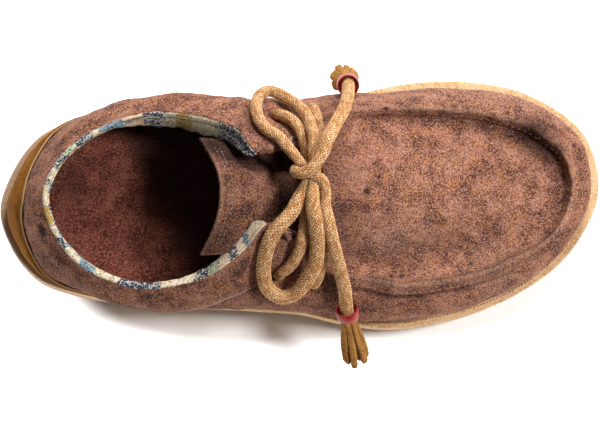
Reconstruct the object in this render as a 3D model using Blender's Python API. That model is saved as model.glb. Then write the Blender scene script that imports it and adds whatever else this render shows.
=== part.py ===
"""Wool sneaker for the right foot: sole, insole, upper, heel counter, tongue and laces.

Lengths are in millimetres and become metres when a mesh is made. +X points to the toe, +Y to the inner
side of the foot and +Z up. The floor is z = 0 and the origin is under the middle of the shoe's box.
"""

from collections import namedtuple

import bmesh
import bpy
import numpy as np
from mathutils import Matrix, Vector

MM = 0.001
GAP = 0.3

# Driving sizes of the upper and the sole.
WALL = 3.0
COUNTER_THICK = 1.6
COUNTER_RISE = 29.0
COUNTER_END_DROP = 0.92
COUNTER_END_BEND = 1.35
RIDGE_REACH = 5.4
RIDGE_DROP = 3.6
LINING_RIDGE = 0.4
SOLE_TOP_ROUND = 1.4
SOLE_BOTTOM_ROUND = 3.0
ROUND_SHARE = 0.3
INSOLE_THICK = 4.0
INSOLE_CLEAR = 1.3
INSOLE_BEVEL = 1.0
LUG_DEPTH = 2.2
LUG_WIDTH = 3.2
LUG_REACH = 200.0
TONGUE_THICK = 2.4
TONGUE_SCOOP = 9.0
TONGUE_CROWN = 0.018
TONGUE_MIDDLE_Y = -2.2
TONGUE_DIP = 8.0

# Driving sizes of the laces and what hangs on them.
LACE = 6.9
BEAD_OUTER = 10.8
BEAD_LENGTH = 5.4
BEAD_BEVEL = 1.0
BEAD_PLAY = 0.45
TASSEL_LENGTH = 27.0
TASSEL_CLEAR = 1.0
TASSEL_FLARE = 12.4

# Mesh fineness.
AROUND = 72
LACE_STEP = 7.0

# Colours shared by several pieces.
LACE_COLOUR = (0.62, 0.37, 0.13)
WOOL_COLOUR = (0.30, 0.17, 0.15)

# One row for each place around the shoe, from the heel along the outer side to the toe and back.
# x, y: edge of the sole. rim: ledge of the sole outside the upper. belly_out, shoulder_in, crest_in: how far
# the wall stands outside or inside its lower edge at three heights. rise: height of the crest above that
# edge. ridge: share of the moccasin seam. edge_x, edge_y, edge_z: rim of the foot opening.
Station = namedtuple(
    "Station", "place x y rim belly_out shoulder_in crest_in rise ridge edge_x edge_y edge_z"
)
STATIONS = [
    Station("heel back", -143.3, -4, 4.8, -2.2, 9.5, 12.0, 40, 0, -121.6, -4, 80),
    Station("heel corner out", -138.6, -20, 4.8, -1.6, 7.4, 9.8, 40, 0, -117, -18.5, 79),
    Station("heel turn out", -126.5, -35.2, 4.6, 0.4, 5.4, 7.4, 39, 0, -106.5, -32, 77.5),
    Station("heel out", -102, -44.2, 4.2, 4.6, -3.6, -1.4, 39, 0, -89, -41, 75),
    Station("collar out", -72, -47.8, 3.4, 6.8, -8.0, -4.8, 39.5, 0, -70, -43.6, 74),
    Station("waist out", -45, -49.5, 3.3, 6.0, -4.6, -0.6, 42, 0, -47, -38.5, 77.5),
    Station("instep out", -20, -51, 3.3, 4.8, -0.8, 8.0, 44.5, 0, -30, -26.6, 84.5),
    Station("flap out", 0, -52.6, 3.3, 3.8, 2.4, 13.0, 43, 0.15, -20.4, -16.2, 89.5),
    Station("throat out", 19, -56.8, 3.3, 3.0, 4.6, 15.2, 38.5, 0.7, -8, -21.8, 83),
    Station("ball out", 40, -59.8, 3.4, 0.6, 4.6, 14.2, 35, 1, 3.4, -18.4, 78.4),
    Station("toe wall out", 69.5, -56.2, 3.8, 0.6, 4.2, 12.6, 32, 1, 5.6, -11.5, 80.2),
    Station("toe turn out", 103.8, -43.4, 3.5, -0.2, 3.6, 11.0, 28.5, 1, 6.8, -6, 80.8),
    Station("toe corner out", 129.8, -23, 4.8, 0.0, 2.6, 7.6, 24.5, 1, 7.4, -2.6, 81),
    Station("toe tip", 143.3, 8, 4.8, -0.8, 4.0, 10.8, 21.5, 1, 7.6, 0.6, 81),
    Station("toe corner in", 136.6, 33.4, 5.0, -0.2, 4.2, 12.4, 23.5, 1, 7.4, 3.6, 81),
    Station("toe turn in", 115, 50.8, 5.2, 0.0, 4.4, 13.2, 27.5, 1, 6.8, 7, 80.8),
    Station("ball in", 66, 59.8, 4.6, -0.6, 5.0, 12.9, 32.5, 1, 5.6, 12, 80.2),
    Station("throat in", 36, 55.4, 4.2, 0.4, 3.8, 9.6, 37, 0.9, 3.4, 18.4, 78.4),
    Station("flap in", 14, 48.5, 3.4, 4.4, -0.2, 5.4, 41, 0.4, -8, 21.6, 83),
    Station("instep in", -8, 44, 3.3, 5.0, -2.6, 3.6, 44, 0, -24.6, 17, 89.5),
    Station("waist in", -34, 43.2, 3.3, 5.0, -4.4, -1.0, 44, 0, -35, 29, 82.5),
    Station("collar in", -65, 43.6, 3.4, 6.0, -7.0, -4.2, 40, 0, -63, 37, 74.5),
    Station("heel in", -98, 41.8, 4.2, 4.4, -2.2, 0.6, 39, 0, -89, 32.6, 75),
    Station("heel turn in", -125, 31.6, 4.6, -1.2, 7.0, 9.0, 39, 0, -109, 21, 77.5),
    Station("heel corner in", -138.2, 13.4, 4.8, -1.8, 8.4, 10.8, 40, 0, -118.4, 9, 79),
]
BELLY_SHARE = 0.42
SHOULDER_SHARE = 0.85

# Places up the wall: lower edge, belly, shoulder, crest, groove behind the crest, rim of the opening.
LEVELS = (0.0, 0.17, 0.33, 0.45, 0.55, 1.0)
ROWS_UP = (0, 0.05, 0.11, 0.17, 0.22, 0.28, 0.33, 0.37, 0.41, 0.45, 0.5, 0.55, 0.63, 0.73, 0.86, 1)
COLLAR_SHARE = 0.3

# Side view of the sole: height of its top above the floor, and how far its underside is off the floor.
SoleRow = namedtuple("SoleRow", "x top lift")
SOLE_ROWS = [
    SoleRow(-145, 28.2, 2.5),
    SoleRow(-132, 27.8, 0.0),
    SoleRow(-46, 25.6, 0.0),
    SoleRow(-36, 25.2, 4.0),
    SoleRow(2, 23.4, 4.0),
    SoleRow(12, 23.0, 0.0),
    SoleRow(88, 22.4, 0.0),
    SoleRow(112, 24.2, 2.4),
    SoleRow(130, 26.4, 6.0),
    SoleRow(145, 28.8, 10.0),
]
LUG_PLACES = (-118, -106, -94, -82, -70, -58, 24, 36, 48, 60, 72, 84)

# Middle of the tongue, from its seam under the apron to its free end.
TongueRow = namedtuple("TongueRow", "x z half_width")
TONGUE_ROWS = [
    TongueRow(15, 71.5, 12),
    TongueRow(4, 70.5, 19),
    TongueRow(-12, 76.5, 24),
    TongueRow(-28, 87, 27),
    TongueRow(-41, 95.5, 27.8),
]

# Middle lines of the lace, chosen by hand. Bars lie between the eyelets; loops and ends leave the knot.
FRONT_BAR = [
    (2.9, 41.7, 69.6), (4.9, 37.0, 72.8), (6.1, 32.6, 75.0), (6.0, 27.9, 78.6), (5.1, 23.7, 81.4),
    (3.7, 18.8, 83.4), (2.6, 14.2, 83.6), (2.1, 7.3, 83.2), (2.5, 0.4, 83.4), (3.9, -6.8, 84.6),
    (5.5, -18.4, 83.8), (6.1, -27.3, 78.8), (5.8, -34.0, 73.8), (4.5, -39.0, 71.0), (2.8, -42.5, 69.6),
]
REAR_STRAND_MEDIAL = [
    (-14.1, 35.9, 77.2), (-11.1, 34.7, 77.8), (-8.5, 32.7, 78.8), (-5.5, 28.7, 81.5), (-3.3, 23.8, 85.4),
    (-2.2, 18.8, 86.2), (-0.8, 13.9, 85.6), (1.1, 9.5, 84.0),
]
REAR_STRAND_LATERAL = [
    (-13.4, -37.7, 76.2), (-11.7, -35.9, 77.0), (-8.3, -32.0, 78.8), (-5.6, -27.1, 83.2), (-4.4, -21.1, 87.4),
    (-3.2, -14.7, 87.0), (-1.4, -6.7, 85.8), (1.0, 0.3, 84.0),
]
LOOP_MEDIAL = [
    (-7.1, 14.0, 94.5), (-11.5, 19.7, 92.0), (-15.3, 24.7, 88.4), (-20.0, 27.8, 86.2), (-23.1, 32.3, 83.0),
    (-24.3, 37.4, 78.6), (-23.7, 42.8, 72.8), (-21.3, 47.8, 66.9), (-17.4, 49.6, 64.8), (-13.4, 48.2, 66.8),
    (-9.1, 44.9, 69.9), (-5.2, 41.5, 73.4), (-2.2, 38.1, 77.4), (-0.1, 34.2, 81.8), (1.1, 29.3, 87.6),
    (1.6, 25.6, 91.0), (1.3, 21.2, 93.6), (0.4, 16.9, 94.6),
]
LOOP_LATERAL = [
    (-5.8, -3.9, 94.4), (-9.8, -11.3, 94.2), (-14.4, -16.4, 93.6), (-18.3, -21.4, 91.4),
    (-20.4, -26.9, 87.6), (-21.4, -32.3, 83.4), (-21.4, -37.8, 78.8), (-20.0, -42.7, 74.0),
    (-16.6, -46.1, 71.0), (-12.4, -47.7, 69.4), (-7.8, -46.6, 70.2), (-3.9, -43.3, 74.2),
    (-0.7, -39.0, 78.8), (2.0, -33.4, 82.6), (2.6, -27.9, 86.6), (2.3, -21.8, 91.0),
    (1.2, -15.4, 95.4), (0.0, -8.1, 97.6),
]
# The last two points of each end run straight through its bead.
END_MEDIAL = [
    (4.6, 15.8, 101.0), (6.2, 20.5, 99.6), (8.6, 25.1, 95.2), (11.7, 30.9, 88.2), (15.2, 36.7, 81.0),
    (17.5, 42.2, 74.5), (19.0, 47.8, 67.2), (19.6, 51.4, 61.6), (20.0, 53.8, 54.4),
]
END_LATERAL = [
    (6.4, -7.6, 92.6), (8.6, -15.6, 91.4), (10.6, -23.4, 88.0), (13.0, -31.1, 82.0), (14.9, -37.7, 75.5),
    (16.4, -44.4, 70.0), (17.7, -51.9, 63.4), (19.1, -57.1, 57.6),
]

# Outline of a tassel: shares of its length and of its widest flare.
TasselRow = namedtuple("TasselRow", "along across")
TASSEL_ROWS = [
    TasselRow(0.0, 0.40),
    TasselRow(0.03, 0.56),
    TasselRow(0.35, 0.72),
    TasselRow(0.75, 1.00),
    TasselRow(1.0, 0.84),
]
TASSEL_LEAN_MEDIAL = (0.02, 0.26, -0.965)
TASSEL_LEAN_LATERAL = (0.19, -0.66, -0.73)
KNOT_PLACE = (-0.6, 5.0, 95.6)
KNOT_SIZE = (14.0, 12.0, 10.6)


def cubic(start, end, start_slope, end_slope, step, u):
    """Cubic between two values with the given slopes, at u from 0 to 1 of the step."""
    rise = (end - start) / step
    bend = start_slope + (3 * rise - 2 * start_slope - end_slope) * u
    return start + step * u * (bend + (start_slope + end_slope - 2 * rise) * u * u)


def ring_spline(knots, values):
    """Smooth closed curve through rows of values at knots that run from 0 to below 1."""
    step = np.diff(np.append(knots, knots[0] + 1.0))[:, None]
    slope = (np.roll(values, -1, axis=0) - values) / step
    before, slope_before = np.roll(step, 1, axis=0), np.roll(slope, 1, axis=0)
    tangent = (slope * before + slope_before * step) / (before + step)

    def at(t):
        t = np.mod(t, 1.0)
        i = np.searchsorted(knots, t, side="right") - 1
        j = (i + 1) % len(knots)
        u = (t - knots[i])[:, None] / step[i]
        return cubic(values[i], values[j], tangent[i], tangent[j], step[i], u)

    return at


def smooth_path(points, fractions):
    """Smooth open curve through points, read at fractions of its length from 0 to 1."""
    points = np.asarray(points, float)
    along = np.append(0, np.cumsum(np.linalg.norm(np.diff(points, axis=0), axis=1)))
    along /= along[-1]
    tangent = np.gradient(points, along, axis=0)
    t = np.asarray(fractions, float)
    i = np.clip(np.searchsorted(along, t, side="right") - 1, 0, len(points) - 2)
    step = (along[i + 1] - along[i])[:, None]
    u = (t - along[i])[:, None] / step
    return cubic(points[i], points[i + 1], tangent[i], tangent[i + 1], step, u)


def ease(value, low, high):
    """Smooth rise from 0 to 1 between two values."""
    u = np.clip((value - low) / (high - low), 0, 1)
    return u * u * (3 - 2 * u)


def sole_top(x):
    """Height of the sole's upper face."""
    return np.interp(x, [r.x for r in SOLE_ROWS], [r.top for r in SOLE_ROWS])


def sole_lift(x):
    """Height of the sole's underside off the floor."""
    return np.interp(x, [r.x for r in SOLE_ROWS], [r.lift for r in SOLE_ROWS])


def station_knots():
    """How far around the shoe each station lies, as a share of the sole's edge."""
    edge = np.array([(s.x, s.y) for s in STATIONS], float)
    chord = np.linalg.norm(np.roll(edge, -1, axis=0) - edge, axis=1)
    return np.append(0, np.cumsum(chord)[:-1]) / chord.sum()


KNOTS = station_knots()
KNOT_OF = {s.place: knot for s, knot in zip(STATIONS, KNOTS)}
STATION_AT = ring_spline(KNOTS, np.array([s[1:] for s in STATIONS], float))
COLUMN = {name: i for i, name in enumerate(Station._fields[1:])}


def outline(t, inset):
    """Plan of the sole's edge moved inwards, and its inward normals."""
    place = STATION_AT(t)[:, :2]
    ahead = STATION_AT(t + 0.002)[:, :2] - STATION_AT(t - 0.002)[:, :2]
    inward = np.stack([-ahead[:, 1], ahead[:, 0]], axis=1)
    inward /= np.linalg.norm(inward, axis=1)[:, None]
    return place + inward * np.reshape(inset, (-1, 1)), inward


def upper_form(t, levels, ridge_share=1.0):
    """Outer surface of the upper: a grid of points, one row for each level and one column for each t."""
    values = {name: STATION_AT(t)[:, i] for name, i in COLUMN.items()}
    foot, inward = outline(t, values["rim"])
    base = sole_top(foot[:, 0]) + GAP

    def wall_point(inset, height):
        return np.column_stack([foot + inward * inset[:, None], base + height])

    rise, ridge = values["rise"], values["ridge"][:, None]
    crest_drop = (1 - ridge_share) * values["ridge"] * RIDGE_DROP
    crest = wall_point(values["crest_in"], rise - crest_drop)
    rim = np.column_stack([values["edge_x"], values["edge_y"], values["edge_z"]])
    groove = wall_point(values["crest_in"] + RIDGE_REACH, rise - RIDGE_DROP)
    collar = crest + (rim - crest) * COLLAR_SHARE
    points = np.stack(
        [
            wall_point(0 * rise, 0 * rise),
            wall_point(-values["belly_out"], BELLY_SHARE * rise),
            wall_point(values["shoulder_in"], SHOULDER_SHARE * rise),
            crest,
            ridge * groove + (1 - ridge) * collar,
            rim,
        ]
    )
    tangent = np.gradient(points, np.array(LEVELS), axis=0)
    levels = np.asarray(levels, float)
    i = np.clip(np.searchsorted(LEVELS, levels, side="right") - 1, 0, len(LEVELS) - 2)
    step = np.diff(LEVELS)[i][:, None, None]
    u = (levels - np.array(LEVELS)[i])[:, None, None] / step
    return cubic(points[i], points[i + 1], tangent[i], tangent[i + 1], step, u)


def surface_normals(grid, closed):
    """Outward normals of a grid of points whose rows run up and whose columns run around."""
    up = np.gradient(grid, axis=0)
    if closed:
        around = np.roll(grid, -1, axis=1) - np.roll(grid, 1, axis=1)
    else:
        around = np.gradient(grid, axis=1)
    normal = np.cross(around, up)
    return normal / np.linalg.norm(normal, axis=2)[:, :, None]


def finish_object(name, mesh, colour, roughness):
    """Puts a mesh in the scene under its name, with its own material."""
    material = bpy.data.materials.new(name)
    material.use_nodes = True
    shader = material.node_tree.nodes["Principled BSDF"]
    shader.inputs["Base Color"].default_value = (*colour, 1.0)
    shader.inputs["Roughness"].default_value = roughness
    mesh.materials.append(material)
    if isinstance(mesh, bpy.types.Mesh):
        mesh.shade_smooth()
    part = bpy.data.objects.new(name, mesh)
    bpy.context.collection.objects.link(part)
    return part


def mesh_of(name, points, faces):
    """Mesh from points in millimetres, with its faces turned outwards."""
    mesh = bpy.data.meshes.new(name)
    mesh.from_pydata([tuple(p) for p in np.asarray(points) * MM], [], faces)
    work = bmesh.new()
    work.from_mesh(mesh)
    bmesh.ops.recalc_face_normals(work, faces=work.faces)
    work.to_mesh(mesh)
    work.free()
    return mesh


def wall_mesh(name, outer, inner, closed):
    """Closed wall between two grids of the same shape, which may run right round."""
    rows, columns = outer.shape[:2]
    count = rows * columns
    spans = columns if closed else columns - 1
    faces = []

    def index(side, row, column):
        return side * count + row * columns + column % columns

    for c in range(spans):
        for r in range(rows - 1):
            for side in (0, 1):
                low = (index(side, r, c), index(side, r, c + 1))
                high = (index(side, r + 1, c + 1), index(side, r + 1, c))
                faces.append([*low, *high])
        for r in (0, rows - 1):
            faces.append([index(0, r, c), index(0, r, c + 1), index(1, r, c + 1), index(1, r, c)])
    if not closed:
        for c in (0, columns - 1):
            for r in range(rows - 1):
                faces.append([index(0, r, c), index(0, r + 1, c), index(1, r + 1, c), index(1, r, c)])
    return mesh_of(name, np.concatenate([outer.reshape(-1, 3), inner.reshape(-1, 3)]), faces)


def slab_mesh(name, rings):
    """Closed slab whose rings run from the middle of one face over the edge to the middle of the other."""
    count = len(rings[0])
    half = count // 2
    faces = []
    for r in range(len(rings) - 1):
        for c in range(count):
            n = (c + 1) % count
            faces.append([r * count + c, r * count + n, (r + 1) * count + n, (r + 1) * count + c])
    for start in (0, (len(rings) - 1) * count):
        faces.append([start, start + 1, start + count - 1])
        for c in range(1, half - 1):
            faces.append([start + c, start + c + 1, start + count - c - 1, start + count - c])
        faces.append([start + half - 1, start + half, start + half + 1])
    return mesh_of(name, np.concatenate(rings), faces)


def around_steps(count):
    """Even steps around the shoe, starting at the heel."""
    return np.arange(count) / count


def combine(part, helper, operation):
    """Joins a helper solid to a part or takes it away."""
    modifier = part.modifiers.new(operation.lower() + "_" + helper.name, "BOOLEAN")
    modifier.operation = operation
    modifier.object = helper
    helper.hide_render = True
    helper.display_type = "WIRE"


def make_sole():
    """Moulded crepe sole with rounded edges, arch, toe spring and cross grooves."""
    t = around_steps(AROUND)

    def ring(inset, height_of):
        plan, _ = outline(t, np.full(AROUND, inset))
        return np.column_stack([plan, height_of(plan[:, 0])])

    rings = [
        ring(SOLE_TOP_ROUND, sole_top),
        ring(ROUND_SHARE * SOLE_TOP_ROUND, lambda x: sole_top(x) - ROUND_SHARE * SOLE_TOP_ROUND),
        ring(0.0, lambda x: sole_top(x) - SOLE_TOP_ROUND),
        ring(0.0, lambda x: sole_lift(x) + (2 - ROUND_SHARE) * SOLE_BOTTOM_ROUND),
        ring(ROUND_SHARE * SOLE_BOTTOM_ROUND, lambda x: sole_lift(x) + (1 - ROUND_SHARE) * SOLE_BOTTOM_ROUND),
        ring(SOLE_BOTTOM_ROUND, sole_lift),
    ]
    sole = finish_object("sole", slab_mesh("sole", rings), (0.62, 0.42, 0.22), 0.75)
    for i, x in enumerate(LUG_PLACES):
        combine(sole, make_groove(f"lug_groove_{i}", x), "DIFFERENCE")
    return sole


def make_groove(name, x):
    """Bar that cuts one cross groove in the underside."""
    work = bmesh.new()
    place = Matrix.Translation(Vector((x, 0, 0)) * MM)
    size = Matrix.Diagonal((LUG_WIDTH * MM, LUG_REACH * MM, 2 * LUG_DEPTH * MM, 1))
    bmesh.ops.create_cube(work, size=1.0, matrix=place @ size)
    mesh = bpy.data.meshes.new(name)
    work.to_mesh(mesh)
    work.free()
    bar = bpy.data.objects.new(name, mesh)
    bpy.context.collection.objects.link(bar)
    return bar


def make_insole():
    """Footbed that lies on the sole inside the upper."""
    t = around_steps(AROUND)
    rim = STATION_AT(t)[:, COLUMN["rim"]]

    def ring(more, height):
        plan, _ = outline(t, rim + WALL + INSOLE_CLEAR + more)
        return np.column_stack([plan, sole_top(plan[:, 0]) + height])

    rings = [
        ring(INSOLE_BEVEL, GAP + INSOLE_THICK),
        ring(0.0, GAP + INSOLE_THICK - INSOLE_BEVEL),
        ring(0.0, GAP),
    ]
    return finish_object("insole", slab_mesh("insole", rings), (0.20, 0.12, 0.10), 0.95)


def make_upper():
    """Felted wool upper: one wall, open underneath, at the collar and along the throat."""
    t = around_steps(AROUND)
    outer = upper_form(t, ROWS_UP)
    lining_side = upper_form(t, ROWS_UP, LINING_RIDGE)
    inner = lining_side - surface_normals(lining_side, True) * WALL
    inner[0, :, 2] = outer[0, :, 2]
    return finish_object("upper", wall_mesh("upper", outer, inner, True), WOOL_COLOUR, 0.95)


def make_heel_counter():
    """Suede counter that stands proud of the upper around the heel."""
    columns, rows = 25, 6
    inner_end = 0.5 * (KNOT_OF["heel in"] + KNOT_OF["collar in"]) - 1.0
    outer_end = 0.5 * (KNOT_OF["heel out"] + KNOT_OF["collar out"])
    t = np.linspace(inner_end, outer_end, columns)
    sweep = np.abs(np.linspace(-1, 1, columns))
    top = COUNTER_RISE * (1 - COUNTER_END_DROP * sweep**COUNTER_END_BEND)
    share = top / STATION_AT(t)[:, COLUMN["rise"]]
    grid = np.empty((rows, columns, 3))
    normal = np.empty_like(grid)
    for r, height in enumerate(np.linspace(0, 1, rows)):
        for c in range(columns):
            level = np.interp(height * share[c], [0, BELLY_SHARE, SHOULDER_SHARE], LEVELS[:3])
            near = upper_form(t[c] + np.array([-0.004, 0, 0.004]), [level, level + 0.01])
            grid[r, c] = near[0, 1]
            across = np.cross(near[0, 2] - near[0, 0], near[1, 1] - near[0, 1])
            normal[r, c] = across / np.linalg.norm(across)
    normal[0, :, 2] = 0
    outer = grid + normal * (GAP + COUNTER_THICK)
    inner = grid + normal * GAP
    mesh = wall_mesh("heel_counter", outer, inner, False)
    return finish_object("heel_counter", mesh, (0.33, 0.20, 0.06), 0.85)


def make_tongue():
    """Wool tongue, arched over the instep, scooped at its free end and lower on the inner side."""
    columns, rows = 13, 12
    middle = smooth_path([(r.x, r.z, r.half_width) for r in TONGUE_ROWS], np.linspace(0, 1, rows))
    across = np.linspace(-1, 1, columns)
    share = np.linspace(0, 1, rows)[:, None]
    y = TONGUE_MIDDLE_Y * share + middle[:, 2:] * across
    x = middle[:, :1] - TONGUE_SCOOP * share * across**2
    slope = (middle[-1, 1] - middle[0, 1]) / (middle[0, 0] - middle[-1, 0])
    z = middle[:, 1:2] + slope * TONGUE_SCOOP * share * across**2
    z = z - TONGUE_CROWN * (middle[:, 2:] * across) ** 2
    z = z - TONGUE_DIP * ease(across, 0.3, 0.75) * ease(share, 0.3, 0.6)
    outer = np.stack([x, y, z], axis=2)
    normal = surface_normals(outer, False)
    normal *= np.sign(normal[:, :, 2:])
    mesh = wall_mesh("tongue", outer, outer - normal * TONGUE_THICK, False)
    return finish_object("tongue", mesh, WOOL_COLOUR, 0.95)


def cord_points(route):
    """Even points along the smooth curve through a route."""
    fine = smooth_path(route, np.linspace(0, 1, 200))
    length = np.linalg.norm(np.diff(fine, axis=0), axis=1).sum()
    return smooth_path(route, np.linspace(0, 1, int(length / LACE_STEP) + 2))


def cord_curve(name, route):
    """Round cord along a route, closed at both ends."""
    curve = bpy.data.curves.new(name, "CURVE")
    curve.dimensions = "3D"
    curve.bevel_depth = 0.5 * LACE * MM
    curve.bevel_resolution = 2
    curve.use_fill_caps = True
    points = cord_points(route) * MM
    spline = curve.splines.new("POLY")
    spline.points.add(len(points) - 1)
    for point, place in zip(spline.points, points):
        point.co = (*place, 1.0)
    return curve


def cord_solid(name, route):
    """The same cord as a mesh object, for joining."""
    holder = bpy.data.objects.new(name, cord_curve(name, route))
    bpy.context.collection.objects.link(holder)
    bpy.context.view_layer.update()
    mesh = bpy.data.meshes.new_from_object(holder.evaluated_get(bpy.context.evaluated_depsgraph_get()))
    bpy.data.objects.remove(holder)
    return mesh


def make_lace_bars():
    """Lace between the eyelets: the front bar with both rear strands joined to it."""
    bars = finish_object("lace_bars", cord_solid("lace_bars", FRONT_BAR), LACE_COLOUR, 0.9)
    for name, route in (("medial", REAR_STRAND_MEDIAL), ("lateral", REAR_STRAND_LATERAL)):
        strand = bpy.data.objects.new("rear_strand_" + name, cord_solid("rear_strand_" + name, route))
        bpy.context.collection.objects.link(strand)
        combine(bars, strand, "UNION")
    return bars


def make_lace_cord(name, route):
    """One loop or end of the bow."""
    return finish_object(name, cord_curve(name, route), LACE_COLOUR, 0.9)


def make_lace_knot():
    """Knot of the bow as a plain rounded lump."""
    work = bmesh.new()
    bmesh.ops.create_icosphere(work, subdivisions=3, radius=0.5)
    size = Matrix.Diagonal((*(Vector(KNOT_SIZE) * MM), 1))
    bmesh.ops.transform(work, matrix=Matrix.Translation(Vector(KNOT_PLACE) * MM) @ size, verts=work.verts)
    mesh = bpy.data.meshes.new("lace_knot")
    work.to_mesh(mesh)
    work.free()
    return finish_object("lace_knot", mesh, LACE_COLOUR, 0.9)


def turned_points(profile, place, axis, sides):
    """Rings of points around an axis, one for each (along, radius) row of the profile."""
    axis = Vector(axis).normalized()
    across = axis.orthogonal().normalized()
    other = axis.cross(across)
    turn = np.arange(sides) * 2 * np.pi / sides
    around = np.outer(np.cos(turn), across) + np.outer(np.sin(turn), other)
    return [np.array(place) + along * np.array(axis) + radius * around for along, radius in profile]


def make_bead(name, route):
    """Ring that holds the end of the lace, square to it."""
    sides = 20
    before, after = np.array(route[-2]), np.array(route[-1])
    half, outer, bore = 0.5 * BEAD_LENGTH, 0.5 * BEAD_OUTER, 0.5 * LACE + BEAD_PLAY
    profile = [
        (-half, bore), (-half, outer - BEAD_BEVEL), (BEAD_BEVEL - half, outer),
        (half - BEAD_BEVEL, outer), (half, outer - BEAD_BEVEL), (half, bore),
    ]
    rings = turned_points(profile, 0.5 * (before + after), after - before, sides)
    faces = []
    for r in range(len(rings)):
        for c in range(sides):
            n, up = (c + 1) % sides, (r + 1) % len(rings)
            faces.append([r * sides + c, r * sides + n, up * sides + n, up * sides + c])
    return finish_object(name, mesh_of(name, np.concatenate(rings), faces), (0.60, 0.03, 0.02), 0.2)


def make_tassel(name, route, lean):
    """Fringed end as one flared solid that follows on from the lace."""
    sides = 14
    start = np.array(route[-1]) + TASSEL_CLEAR * np.array(Vector(lean).normalized())
    profile = [(row.along * TASSEL_LENGTH, 0.5 * row.across * TASSEL_FLARE) for row in TASSEL_ROWS]
    mesh = slab_mesh(name, turned_points(profile, start, lean, sides))
    return finish_object(name, mesh, (0.42, 0.22, 0.06), 0.8)


def clear_scene():
    """Removes whatever the scene holds."""
    for item in list(bpy.data.objects):
        bpy.data.objects.remove(item)


def main():
    """Builds every piece of the shoe."""
    clear_scene()
    make_sole()
    make_insole()
    make_upper()
    make_heel_counter()
    make_tongue()
    make_lace_bars()
    make_lace_knot()
    make_lace_cord("lace_loop_medial", LOOP_MEDIAL)
    make_lace_cord("lace_loop_lateral", LOOP_LATERAL)
    make_lace_cord("lace_end_medial", END_MEDIAL)
    make_lace_cord("lace_end_lateral", END_LATERAL)
    make_bead("bead_medial", END_MEDIAL)
    make_bead("bead_lateral", END_LATERAL)
    make_tassel("tassel_medial", END_MEDIAL, TASSEL_LEAN_MEDIAL)
    make_tassel("tassel_lateral", END_LATERAL, TASSEL_LEAN_LATERAL)


if __name__ == "__main__":
    main()
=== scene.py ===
"""Looks of a felted wool sneaker for the right foot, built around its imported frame.

Sizes are in millimetres and become metres when a mesh is made. +X points to the toe, +Y to the inner
side of the foot and +Z up. The floor is z = 0 and the origin is under the middle of the shoe.
"""

import logging
import math
from dataclasses import dataclass, field, replace
from enum import Enum
from typing import Any, Callable, NamedTuple, Sequence

import bmesh
import bpy
import numpy as np
from mathutils import Matrix, Vector

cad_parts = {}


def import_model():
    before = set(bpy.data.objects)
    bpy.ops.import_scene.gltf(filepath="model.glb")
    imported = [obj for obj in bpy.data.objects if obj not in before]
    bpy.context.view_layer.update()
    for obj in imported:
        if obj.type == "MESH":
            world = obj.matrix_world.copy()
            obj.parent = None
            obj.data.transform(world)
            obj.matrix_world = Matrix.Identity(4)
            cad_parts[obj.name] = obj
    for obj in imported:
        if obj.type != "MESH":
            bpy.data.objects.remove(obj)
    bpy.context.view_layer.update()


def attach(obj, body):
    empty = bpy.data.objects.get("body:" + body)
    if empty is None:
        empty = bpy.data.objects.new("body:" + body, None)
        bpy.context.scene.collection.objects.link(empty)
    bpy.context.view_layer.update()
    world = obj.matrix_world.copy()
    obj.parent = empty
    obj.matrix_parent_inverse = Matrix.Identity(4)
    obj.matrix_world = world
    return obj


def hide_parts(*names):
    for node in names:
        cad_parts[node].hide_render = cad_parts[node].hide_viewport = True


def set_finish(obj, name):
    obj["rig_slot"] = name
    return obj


LOG = logging.getLogger("wool_sneaker")
MM = 0.001
BODY = "root"

Array = np.ndarray
Material = bpy.types.Material
Mesh = bpy.types.Mesh
Piece = bpy.types.Object
Socket = bpy.types.NodeSocket
Colour = tuple[float, float, float]
Place = tuple[float, float, float]
Route = Sequence[Place]
Stops = Sequence[tuple[float, Colour]]


# Form of the shoe


def rows_of(kind: type, *rows: tuple) -> tuple:
    """Rows of a table as named tuples of one kind."""
    return tuple(kind(*row) for row in rows)


class Station(NamedTuple):
    """One place around the shoe: edge of the sole, section of the wall, and rim of the foot opening."""

    place: str
    x: float
    y: float
    rim: float
    belly_out: float
    shoulder_in: float
    crest_in: float
    rise: float
    ridge: float
    edge_x: float
    edge_y: float
    edge_z: float


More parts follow.
